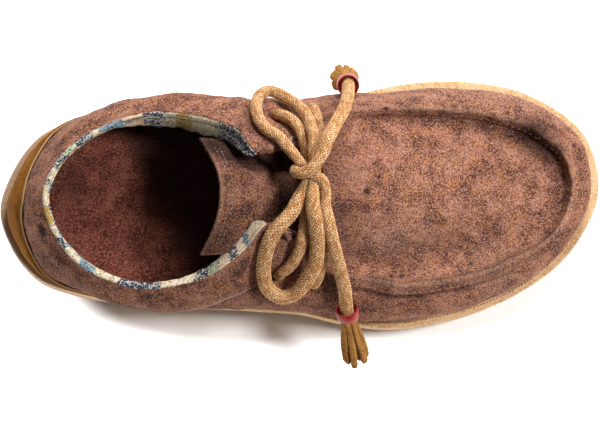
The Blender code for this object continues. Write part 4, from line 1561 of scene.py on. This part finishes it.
@dataclass
class HeelCounter:
    """Suede counter that stands proud of the upper around the heel."""

    last: Last
    thick: float = 1.6
    rise: float = 29.0
    end_drop: float = 0.92
    end_bend: float = 1.35
    columns: int = 150
    rows: int = 22
    row_crowding: float = 1.7
    thinning: float = 0.75
    thin_share: float = 0.12
    swell: float = 0.12
    top_level: float = 0.4
    level_count: int = 161

    def shares(self) -> Array:
        """Shares of the counter's height at its rows, closest at the upper edge."""
        return 1 - np.linspace(1, 0, self.rows) ** self.row_crowding

    def skin(self) -> tuple[Array, Array]:
        """Points of the upper under the counter, and their outward normals."""
        knot_of = self.last.knot_of
        start = 0.5 * (knot_of["heel in"] + knot_of["collar in"]) - 1.0
        end = 0.5 * (knot_of["heel out"] + knot_of["collar out"])
        t = np.linspace(start, end, self.columns)
        sweep = np.abs(np.linspace(-1, 1, self.columns))
        top = self.rise * (1 - self.end_drop * sweep**self.end_bend)
        share = top / self.last.value(t, "rise")
        form = self.last.upper_form(t, np.linspace(0, self.top_level, self.level_count))
        heights = (0.0, self.last.belly_share, self.last.shoulder_share)
        wanted = np.interp(self.shares()[:, None] * share[None, :], heights, self.last.levels[:3])
        place = wanted / self.top_level * (self.level_count - 1)
        row = np.clip(place.astype(int), 0, self.level_count - 2)
        normal = surface_normals(form, False)[row, np.arange(self.columns)[None, :]]
        normal[0, :, 2] = 0
        return between_rows(form, place), unit(normal)

    def build(self, material: Material) -> Piece:
        """Builds the counter with a thin, pale upper edge and painted shade along its lower edge."""
        grid, normal = self.skin()
        height = np.broadcast_to(self.shares()[:, None], grid.shape[:2])
        edge = np.clip((height - 1 + self.thin_share) / self.thin_share, 0, 1)
        proud = self.last.gap + self.thick * (1 - self.thinning * edge)
        outer = grid + normal * (proud + self.swell * Lumps(14.0, 1.0, 21).at(grid) * (1 - edge))[..., None]
        inner = grid + normal * self.last.gap
        skins = np.concatenate([outer, inner[::-1]])
        marks = {
            # pale: the cut upper edge, partly a painted highlight; shade: painted shade along the lower
            # edge by the sole
            "pale": outside_only(smooth_step(height, 0.965, 0.992), self.rows),
            "shade": outside_only(1 - smooth_step(height, 0.0, 0.09), self.rows),
        }
        return skin_piece("counter_suede", skins, False, material, "counter", "heel_counter", **marks)


class TongueRow(NamedTuple):
    """Middle of the tongue, from its seam under the apron to its free end."""

    x: float
    z: float
    half_width: float


@dataclass
class Tongue:
    """Wool tongue, arched over the instep and scooped at its free end, with two rows of stitches."""

    thick: float = 2.4
    scoop: float = 9.0
    crown: float = 0.018
    dip: float = 8.0
    middle_y: float = -2.2
    length: float = 62.0
    half_width: float = 24.0
    rounding: float = 0.5
    rows: int = 90
    row_crowding: float = 1.3
    columns: int = 96
    stitch: StitchSizes = StitchSizes(2.1, 1.2, 0.4, 6)
    stitch_up: float = 0.2
    stitch_rows: tuple[float, ...] = (3.6, 5.6)
    table: tuple[TongueRow, ...] = rows_of(
        TongueRow, (15, 71.5, 12), (4, 70.5, 19), (-12, 76.5, 24), (-28, 87, 27), (-41, 95.5, 27.8)
    )

    def surface(self, share: Array, across: Array) -> Array:
        """Upper surface, at shares of its length and places across it from -1 to 1."""
        middle = smooth_path(self.table, share)
        share, across = np.asarray(share)[:, None], np.asarray(across)[None, :]
        run = share * across**2
        reach = middle[:, 2:] * across
        slope = (self.table[-1].z - self.table[0].z) / (self.table[0].x - self.table[-1].x)
        x = middle[:, :1] - self.scoop * run
        y = self.middle_y * share + reach
        z = middle[:, 1:2] + slope * self.scoop * run - self.crown * reach**2
        z = z - self.dip * smooth_step(across, 0.3, 0.75) * smooth_step(share, 0.3, 0.6)
        return np.stack([x, y, z], axis=2)

    def build(self, material: Material) -> Piece:
        """Builds the tongue with a pale cut edge and spots of painted shadow."""
        share = 1 - np.linspace(1, 0, self.rows) ** self.row_crowding
        across = np.linspace(-1, 1, self.columns)
        outer = self.surface(share, across)
        normal = surface_normals(outer, False)
        normal *= np.sign(normal[:, :, 2:])
        from_end = (1 - share[:, None]) * self.length
        from_side = (1 - np.abs(across))[None, :] * self.half_width
        rim = np.minimum(from_end, from_side)
        rounding = self.rounding * (1 - smooth_step(rim, 0.0, 1.6))
        soft = smooth_step(rim, 0.0, 6.0)
        swell = soft * (Lumps(17.0, 0.3, 31).at(outer) + Lumps(6.0, 0.1, 33).at(outer))
        top = outer + normal * (swell - rounding)[..., None]
        under = outer - normal * (self.thick - rounding)[..., None]
        pale = 0.6 - 0.6 * smooth_step(rim, 0.3, 1.5)
        marks = {
            "pale": np.concatenate([pale, pale[::-1]]),
            "stain": outside_only(spot_field(outer, TONGUE_STAINS), self.rows),
            "shade": outside_only(np.clip(spot_field(outer, TONGUE_PAINTED_SHADE_SPOTS), 0, 0.8), self.rows),
            "nap": outside_only(np.ones_like(pale), self.rows),
        }
        skins = np.concatenate([top, under[::-1]])
        return skin_piece("tongue_wool_painted_shade", skins, False, material, "wool", "tongue", **marks)

    def build_stitches(self, stitches: StitchRepeat, material: Material) -> Piece:
        """Sets the stitches along the free end."""
        shares = 1 - np.array(self.stitch_rows) / self.length
        paths = self.surface(shares, np.linspace(-0.8, 0.8, 120))
        paths[..., 2] += self.stitch_up
        return stitches.piece("tongue_stitches", paths, self.stitch, material, "wool")


# Laces and what hangs on them


FRONT_BAR = (
    (2.8, 39.7, 66.9), (3.7, 36.0, 71.8), (4.1, 32.2, 75.5), (4.0, 27.9, 78.8), (3.4, 23.7, 81.2),
    (2.9, 18.8, 83.0), (2.5, 14.2, 83.6), (2.1, 7.3, 83.2), (2.5, 0.4, 83.4), (3.9, -6.8, 84.6),
    (5.3, -18.5, 84.2), (5.7, -26.8, 79.6), (5.6, -31.9, 75.0), (4.9, -35.8, 71.6), (4.0, -38.8, 69.0),
    (3.2, -40.4, 66.9),
)
REAR_STRAND_MEDIAL = (
    (-13.4, 36.3, 73.8), (-11.0, 35.2, 76.6), (-8.3, 33.4, 78.6), (-5.5, 29.8, 81.5), (-3.4, 24.6, 85.0),
    (-2.3, 18.8, 86.0), (-0.8, 13.9, 85.6), (1.1, 9.5, 84.0),
)
REAR_STRAND_LATERAL = (
    (-12.6, -36.4, 73.6), (-10.4, -34.9, 76.4), (-7.8, -32.1, 79.6), (-5.4, -27.5, 83.4),
    (-4.1, -21.9, 86.6), (-2.9, -14.7, 86.8), (-1.4, -6.7, 85.8), (1.0, 0.3, 84.0),
)
INSIDE_MEDIAL = (
    (-14.4, 36.6, 70.2), (-14.2, 36.0, 66.2), (-11.5, 34.6, 61.6), (-5.8, 34.4, 58.8), (-0.4, 36.4, 58.4),
    (2.2, 39.0, 60.4), (2.5, 40.3, 63.6),
)
INSIDE_LATERAL = (
    (2.8, -41.0, 63.6), (2.2, -40.2, 60.4), (-0.4, -37.4, 58.2), (-5.4, -34.8, 58.4), (-10.8, -34.8, 61.4),
    (-13.4, -36.6, 66.0), (-13.6, -37.2, 70.2),
)
LOOP_MEDIAL = (
    (-7.1, 14.0, 94.5), (-11.5, 19.7, 92.0), (-15.3, 24.7, 88.4), (-20.0, 27.8, 86.2), (-23.1, 32.3, 83.0),
    (-24.3, 37.4, 78.6), (-23.9, 41.8, 72.8), (-21.6, 46.7, 67.4), (-17.9, 48.5, 65.4),
    (-13.8, 47.3, 66.8), (-9.4, 44.4, 69.6), (-5.3, 40.8, 73.2), (-2.4, 37.1, 77.4), (-0.7, 33.2, 81.8),
    (0.2, 28.4, 87.0), (0.9, 25.0, 90.6), (1.0, 21.0, 93.4), (0.4, 16.9, 94.6),
)
LOOP_LATERAL = (
    (-5.8, -3.9, 94.4), (-9.8, -11.3, 94.2), (-14.4, -16.4, 93.6), (-18.3, -21.4, 91.4),
    (-20.4, -26.9, 87.6), (-21.4, -32.3, 83.4), (-21.4, -37.8, 78.8), (-20.0, -42.7, 74.0),
    (-16.6, -46.1, 71.0), (-12.4, -47.7, 69.4), (-7.8, -46.6, 70.2), (-3.9, -43.3, 74.2),
    (-0.7, -39.0, 78.8), (2.0, -33.4, 82.6), (2.6, -27.9, 86.6), (2.3, -21.8, 91.0), (1.2, -15.4, 95.4),
    (0.0, -8.1, 97.6),
)
END_MEDIAL = (
    (4.6, 15.8, 101.0), (6.2, 20.5, 99.6), (8.6, 25.1, 95.2), (11.7, 30.9, 88.2), (15.2, 36.7, 81.0),
    (17.5, 42.2, 74.5), (19.0, 47.8, 67.2), (19.6, 51.4, 61.6), (20.0, 53.8, 54.4),
)
END_LATERAL = (
    (5.8, -7.6, 92.8), (7.4, -15.0, 91.4), (9.4, -22.9, 88.0), (12.0, -31.1, 82.0), (14.4, -37.9, 75.5),
    (16.4, -44.4, 70.0), (17.7, -51.9, 63.4), (19.1, -57.1, 57.6),
)
KNOT_BAND = (
    (-6.0, 9.6, 88.0), (-7.4, 8.8, 91.6), (-7.4, 7.4, 95.4), (-5.8, 6.4, 98.6), (-3.0, 6.9, 100.6),
    (-0.3, 8.9, 101.4), (2.2, 12.0, 101.5),
)
KNOT_ROOT = ((-3.0, 7.4, 95.6), (0.8, 5.6, 97.4), (3.8, 3.6, 97.2), (5.6, -0.6, 95.0))
LOOP_MEDIAL_ROOTS = (((-2.4, 7.4, 94.6), (-4.4, 10.4, 94.9)), ((0.6, 12.0, 94.6), (0.8, 6.0, 93.8)))
LOOP_LATERAL_ROOTS = (((-0.6, 5.0, 93.6), (-3.0, 1.0, 94.2)), ((0.0, -2.6, 97.0), (0.2, 3.0, 95.2)))


@dataclass(frozen=True)
class Rope:
    """Knitted rope: columns of V stitches around a round cord."""

    diameter: float
    wales: int = 10
    pitch: float = 1.6
    relief: float = 0.4
    around: int = 72
    step: float = 0.28
    tone_rows: int = 2000
    seed: int = 23

    def frames(self, line: Array) -> tuple[Array, Array]:
        """Two directions square to a line at each of its points, without twist."""
        tangent = unit(np.gradient(line, axis=0))
        side = np.cross(tangent[0], (0.0, 0.0, 1.0))
        sides = []
        for direction in tangent:
            side = side - direction * (side @ direction)
            side = side / np.linalg.norm(side)
            sides.append(side)
        across = np.stack(sides)
        return across, np.cross(tangent, across)

    def stitches(self, turn: Array, along: Array) -> tuple[Array, Array]:
        """Height of the knit, from 0 between stitches to 1 on them, and one tone for each stitch."""
        column = turn * self.wales / (2 * np.pi)
        lean = np.abs(2 * (column - np.floor(column)) - 1)
        place = along / self.pitch + 0.9 * lean
        leg = 0.5 + 0.5 * np.cos(2 * np.pi * place)
        height = (0.12 + 0.88 * leg**0.8) * (1 - 0.6 * lean**8) * (1 - 0.35 * hump(lean, 0.0, 0.16))
        tones = np.random.default_rng(self.seed).random((2 * self.wales, self.tone_rows))
        return height, tones[np.floor(2 * column).astype(int), np.round(place).astype(int)]

    def add(self, builder: MeshBuilder, line: Array, girth: Array, part: slice = slice(None)) -> None:
        """Adds a stretch of rope along a line to a mesh.

        Args:
            builder: Mesh to add to.
            line: Even points along the middle of the rope.
            girth: Share of its full diameter that the rope has at each point.
            part: Points of the stretch.
        """
        across, other = self.frames(line)
        along = run_along(line)
        turn = full_turn(self.around)
        height, tone = self.stitches(turn[:, None], along[None, :])
        radius = 0.5 * self.diameter * girth + self.relief * (height - 0.6)
        out = np.cos(turn)[:, None, None] * across + np.sin(turn)[:, None, None] * other
        grid = line + out * radius[..., None]
        marks = {"relief": height[:, part], "tone": tone[:, part], "nap": np.ones(height[:, part].shape)}
        builder.add(grid[:, part], False, along[part], **marks)


@dataclass
class Laces:
    """The lace: bars through the eyelets, knot, loops and ends."""

    material: Material
    bars: Rope = Rope(5.1)
    loop_medial: Rope = Rope(5.2)
    loop_lateral: Rope = Rope(6.6)
    end_medial: Rope = Rope(5.9)
    end_lateral: Rope = Rope(6.0)
    squeeze: float = 0.16
    band_squeeze: float = 0.14
    squeeze_reach: float = 13.0
    loop_hold: float = 4.0
    end_free: float = 5.0

    def girth(self, line: Array, squeeze: float, free: float, both_ends: bool) -> Array:
        """Share of the full diameter along a line that is squeezed where the knot holds it.

        Args:
            line: Even points along the rope.
            squeeze: Share that the knot takes off.
            free: Length from the end of the line that the knot holds all along.
            both_ends: Whether the knot holds the other end too.

        Returns:
            One share for each point.
        """
        along = run_along(line)
        away = np.minimum(along, along[-1] - along) if both_ends else along
        return 1 - squeeze * (1 - smooth_step(away, free, free + self.squeeze_reach))

    def bow_piece(self, name: str, builder: MeshBuilder) -> Piece:
        """Adds one piece of the bow, which stands for the CAD node of the same name."""
        return add_piece("bow_" + name, builder.mesh("bow_" + name), self.material, "lace", "lace_" + name)

    def build_bars(self) -> Piece:
        """Builds the lace from the knot through the eyelets and back to the knot."""
        route = (
            *REAR_STRAND_MEDIAL[::-1], *INSIDE_MEDIAL, *FRONT_BAR, *INSIDE_LATERAL, *REAR_STRAND_LATERAL,
        )
        line = even_path(route, self.bars.step)
        builder = MeshBuilder()
        self.bars.add(builder, line, np.ones(len(line)))
        mesh = builder.mesh("lace_through_eyelets")
        return add_piece("lace_through_eyelets", mesh, self.material, "lace", "lace_bars")

    def build_loop(self, name: str, route: Route, roots: tuple[Route, Route]) -> Piece:
        """Builds one loop of the bow, from inside the knot and back into it."""
        rope: Rope = getattr(self, name)
        line = even_path((*roots[0], *route, *roots[1]), rope.step)
        builder = MeshBuilder()
        rope.add(builder, line, self.girth(line, self.squeeze, self.loop_hold, True))
        loop = self.bow_piece(name, builder)
        self.declare(route[0])
        return loop

    def build_ends(self, *hanging: tuple[Piece, Piece]) -> list[Piece]:
        """Builds both ends, and the knot from the roots of the same two strands.

        Args:
            hanging: The bead and the tassel of the inner end, then those of the outer end.

        Returns:
            The two ends and the knot.
        """
        knot = MeshBuilder()
        pieces = []
        ends = (
            ("end_medial", KNOT_BAND, END_MEDIAL, self.band_squeeze),
            ("end_lateral", KNOT_ROOT, END_LATERAL, self.squeeze),
        )
        for (name, root, route, squeeze), with_pieces in zip(ends, hanging):
            rope: Rope = getattr(self, name)
            line = even_path((*root, *route), rope.step)
            start = int(np.argmin(np.linalg.norm(line - np.array(route[0]), axis=1)))
            girth = self.girth(line, squeeze, start * rope.step - self.end_free, False)
            rope.add(knot, line, girth, slice(0, start + 1))
            builder = MeshBuilder()
            rope.add(builder, line, girth, slice(start, None))
            end = self.bow_piece(name, builder)
            self.declare(route[0])
            pieces.append(end)
        return [*pieces, self.bow_piece("knot", knot)]

    def declare(
        self,
        leaves: Place,
    ) -> None:
        """Turns a place into metres and keeps nothing of it."""
        tuple(v * MM for v in leaves)


def axes_along(axis: Array) -> tuple[Array, Array, Array]:
    """Unit axis and two directions square to it."""
    along = Vector(axis).normalized()
    across = along.orthogonal().normalized()
    return np.array(along), np.array(across), np.array(along.cross(across))


@dataclass
class Bead:
    """Polished ring that holds the end of the lace, dished where the lace goes in."""

    outer: float = 10.8
    bore: float = 7.0
    dish: float = 1.1
    barrel: float = 0.35
    length: float = 5.4
    squareness: float = 0.45
    sides: int = 64
    profile: int = 44

    def build(self, name: str, route: Route, material: Material) -> Piece:
        """Builds the ring square to the last two points of a lace end."""
        before, after = np.array(route[-2]), np.array(route[-1])
        axis, across, other = axes_along(after - before)
        turn, spin = full_turn(self.profile), full_turn(self.sides)
        share, bulge = (squared(wave, self.squareness) for wave in (np.cos(turn), np.sin(turn)))
        inside = 0.5 * self.bore + self.dish * smooth_step(-share, -0.2, 1.0)
        outside = 0.5 * self.outer - self.barrel * share**2
        radius = 0.5 * (inside + outside) + 0.5 * (outside - inside) * bulge
        out = np.cos(spin)[:, None] * across + np.sin(spin)[:, None] * other
        along = 0.5 * self.length * share
        grid = 0.5 * (before + after) + along[None, :, None] * axis
        grid = grid + radius[None, :, None] * out[:, None, :]
        return skin_piece("ring_" + name, grid, True, material, "bead", "bead_" + name)


class StripRing(NamedTuple):
    """Ring of strips in a tassel: how many, their distance from the middle at root and tip, and length."""

    count: int
    root: float
    tip: float
    length: float


@dataclass
class Tassel:
    """Fringe of suede strips below a bead."""

    lean: Place
    rings: tuple[StripRing, ...]
    width: float = 3.2
    thick: float = 2.4
    flare: float = 0.35
    uneven: float = 1.4
    overlap: float = 0.8
    sway: float = 0.6
    squareness: float = 0.6
    rows: int = 40
    sides: int = 16
    seed: int = 17

    def build(self, name: str, route: Route, material: Material) -> Piece:
        """Builds the strips as one piece."""
        axis, across, other = axes_along(np.array(self.lean))
        start = np.array(route[-1]) - self.overlap * axis
        share = np.linspace(0, 1, self.rows)
        turn = full_turn(self.sides)
        flat, deep = (squared(wave, self.squareness) for wave in (np.cos(turn), np.sin(turn)))
        full = np.maximum(np.clip((1 - share) / 0.07, 0, 1) ** 0.4, 0.1)
        rng = np.random.default_rng(self.seed)
        builder = MeshBuilder()
        for ring in self.rings:
            for i in range(ring.count):
                angle = 2 * np.pi * (i + 0.3 * rng.uniform(-1, 1)) / ring.count
                out = math.cos(angle) * across + math.sin(angle) * other
                side = np.cross(axis, out)
                length = ring.length + self.uneven * rng.uniform(-1, 1)
                tip = ring.tip * (1 + self.flare * rng.uniform(-0.6, 1) ** 3)
                reach = ring.root + (tip - ring.root) * smooth_step(share, 0.0, 0.85)
                sway = self.sway * np.sin(share * 3.4 + 2 * i) * share
                line = start + axis * (share * length)[:, None] + out * reach[:, None]
                line = line + side * sway[:, None]
                wide = 0.5 * self.width * (0.75 + 0.25 * smooth_step(share, 0.1, 0.6)) * full
                grid = line + flat[:, None, None] * wide[:, None] * side
                grid = grid + deep[:, None, None] * (0.5 * self.thick * full)[:, None] * out
                builder.add(grid + Lumps(3.0, 0.07, 40 + i).at(grid)[..., None] * out, False)
        mesh = builder.mesh("fringe_" + name)
        return add_piece("fringe_" + name, mesh, material, "tassel", "tassel_" + name)


# Stage


@dataclass
class Stage:
    """Pale floor, soft lights from the toe and the inner side, and the camera of the photograph."""

    lens: float = 160.0
    sensor: float = 36.0
    camera_place: Place = (-89.36, -125.49, 1290.7)
    camera_back: Place = (-0.06943688, -0.09561441, 0.99299366)
    key_place: Place = (620.0, 40.0, 1160.0)
    key_size: float = 240.0
    key_power: float = 15.0
    side_place: Place = (160.0, 930.0, 800.0)
    side_size: float = 380.0
    side_power: float = 13.2
    sky: float = 0.13
    floor_reach: float = 3000.0
    floor_colour: Colour = (0.93, 0.925, 0.92)
    glow: float = 1.25
    glow_middle: tuple[float, float] = (8.0, -6.0)
    glow_reach: tuple[float, float] = (122.0, 55.5)

    def build(self) -> None:
        """Builds the floor, the lights and the camera."""
        self.add_floor()
        self.add_light("key", self.key_place, self.key_size, self.key_power)
        self.add_light("side", self.side_place, self.side_size, self.side_power)
        self.add_sky()
        self.add_camera()
        view = bpy.context.scene.view_settings
        view.view_transform = "Standard"
        view.look = "None"

    def add_floor(self) -> None:
        """Lays the floor, which glows a little away from the shoe."""
        reach = self.floor_reach * MM
        mesh = bpy.data.meshes.new("floor")
        corners = [(-reach, -reach, 0), (reach, -reach, 0), (reach, reach, 0), (-reach, reach, 0)]
        mesh.from_pydata(corners, [], [(0, 1, 2, 3)])
        shader = Shader("floor")
        places = zip(shader.parts(shader.object_place), self.glow_middle, self.glow_reach)
        along, across = ((place - middle * MM) * (1 / (far * MM)) for place, middle, far in places)
        # Painted light: the floor glows away from the shoe and whitens its shadow beyond a band beside it
        away = along * along * along * along + across * across
        lit = shader.ramp(away.rise(1.0, 1.45), ((0.0, (0.0, 0.0, 0.0)), (1.0, (1.0, 1.0, 1.0))))
        inputs = {"Base Color": self.floor_colour, "Roughness": 1.0, "Specular IOR Level": 0.0}
        glow = {"Emission Color": lit, "Emission Strength": self.glow}
        shader.feed(shader.principled, {**inputs, **glow})
        mesh.materials.append(shader.material)
        link_object("floor", mesh)

    def add_light(self, name: str, place: Place, size: float, power: float) -> None:
        """Hangs a soft square light that points at the shoe."""
        light = bpy.data.lights.new(name, "AREA")
        light.size = size * MM
        light.energy = power
        item = bpy.data.objects.new(name, light)
        item.location = Vector(place) * MM
        item.rotation_euler = (-item.location).to_track_quat("-Z", "Y").to_euler()
        bpy.context.scene.collection.objects.link(item)

    def add_sky(self) -> None:
        """Sets an even white surround."""
        world = bpy.data.worlds.new("surround")
        world.use_nodes = True
        background = world.node_tree.nodes["Background"]
        background.inputs["Color"].default_value = (1.0, 1.0, 1.0, 1.0)
        background.inputs["Strength"].default_value = self.sky
        bpy.context.scene.world = world

    def add_camera(self) -> None:
        """Sets up the camera."""
        camera = bpy.data.cameras.new("camera")
        camera.lens = self.lens
        camera.sensor_width = self.sensor
        back = Vector(self.camera_back).normalized()
        right = (Vector((1, 0, 0)) - back * back.x).normalized()
        up = back.cross(right)
        item = bpy.data.objects.new("camera", camera)
        turn = Matrix((right, up, back)).transposed().to_4x4()
        item.matrix_world = Matrix.Translation(Vector(self.camera_place) * MM) @ turn
        bpy.context.scene.collection.objects.link(item)
        bpy.context.scene.camera = item


def build_nap(fibres: FibreRepeat, pieces: Sequence[Piece]) -> None:
    """Adds the loose fibres that stand out of the wool and of the lace."""
    wool = ThreadFinish((0.52, 0.33, 0.26), (0.17, 0.085, 0.075)).material("wool_fibre")
    lace = ThreadFinish((0.74, 0.5, 0.26), (0.42, 0.23, 0.09)).material("lace_fibre")
    kinds = {
        "wool": (wool, {"Density": 220000.0, "Length": 1.3 * MM, "Thickness": 0.055 * MM, "Seed": 2}),
        "lace": (lace, {"Density": 280000.0, "Length": 1.1 * MM, "Thickness": 0.05 * MM, "Seed": 3}),
    }
    for piece in pieces:
        slot = piece["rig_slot"]
        material, sizes = kinds[slot]
        add_piece("nap_" + piece.name, fibres.mesh(piece, material, **sizes), material, slot)


def main() -> None:
    """Builds the shoe piece by piece."""
    logging.basicConfig(level=logging.INFO, format="%(message)s")
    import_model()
    Stage().build()
    last = Last()
    fibres, stitches = FibreRepeat(), StitchRepeat()

    suede = SuedeFinish(light=(0.44, 0.215, 0.06), dark=(0.15, 0.058, 0.012)).material("tassel_suede")
    red = BeadFinish().material("bead_red")
    inner_strips = rows_of(StripRing, (12, 2.6, 5.6, 20.0), (6, 1.2, 2.8, 19.0))
    outer_strips = rows_of(StripRing, (9, 2.7, 5.2, 27.0), (5, 1.2, 2.6, 26.0))
    ends = (
        ("medial", END_MEDIAL, Tassel((0.0, 0.25, -0.968), inner_strips)),
        ("lateral", END_LATERAL, Tassel((0.2, -0.69, -0.7), outer_strips)),
    )
    hanging = [
        (Bead().build(side, route, red), tassel.build(side, route, suede)) for side, route, tassel in ends
    ]
    laces = Laces(RopeFinish().material("lace_rope"))
    napped = [
        laces.build_bars(),
        laces.build_loop("loop_medial", LOOP_MEDIAL, LOOP_MEDIAL_ROOTS),
        laces.build_loop("loop_lateral", LOOP_LATERAL, LOOP_LATERAL_ROOTS),
        *laces.build_ends(*hanging),
    ]

    sole = Sole(last)
    sole.build(CrepeFinish().material("sole_crepe"))
    ledge_thread = ThreadFinish((0.4, 0.24, 0.11), (0.12, 0.06, 0.03)).material("ledge_thread")
    sole.build_stitches(stitches, ledge_thread)
    felt = WoolFinish(
        dark=(0.075, 0.02, 0.014),
        middle=(0.135, 0.035, 0.023),
        light=(0.2, 0.06, 0.04),
        fleck_light=(0.3, 0.13, 0.095),
        fleck_dark=(0.022, 0.006, 0.005),
        blot=(0.06, 0.016, 0.011),
        rust_share=0.0,
    )
    Insole(last).build(felt.material("insole_felt"))

    wool = WoolFinish()
    upper = Upper(last, wool.material("upper_wool"))
    napped.append(upper.build_wool())
    seam_thread = ThreadFinish((0.4, 0.23, 0.16), (0.22, 0.1, 0.07)).material("seam_thread")
    upper.build_seam_stitches(stitches, seam_thread)
    woven = WovenFinish()
    upper.build_lining(woven.material("lining_weave", along_binding=False))
    upper.build_binding(woven.material("binding_weave", along_binding=True))
    HeelCounter(last).build(SuedeFinish().material("counter_suede"))
    tongue = Tongue()
    # The tongue's wool is the upper's wool darkened to 0.6 as painted shade
    napped.append(tongue.build(wool.scaled(0.6).material("tongue_wool_painted_shade")))
    tongue_thread = ThreadFinish((0.42, 0.3, 0.25), (0.2, 0.12, 0.09)).material("tongue_thread")
    tongue.build_stitches(stitches, tongue_thread)
    build_nap(fibres, napped)


if __name__ == "__main__":
    main()
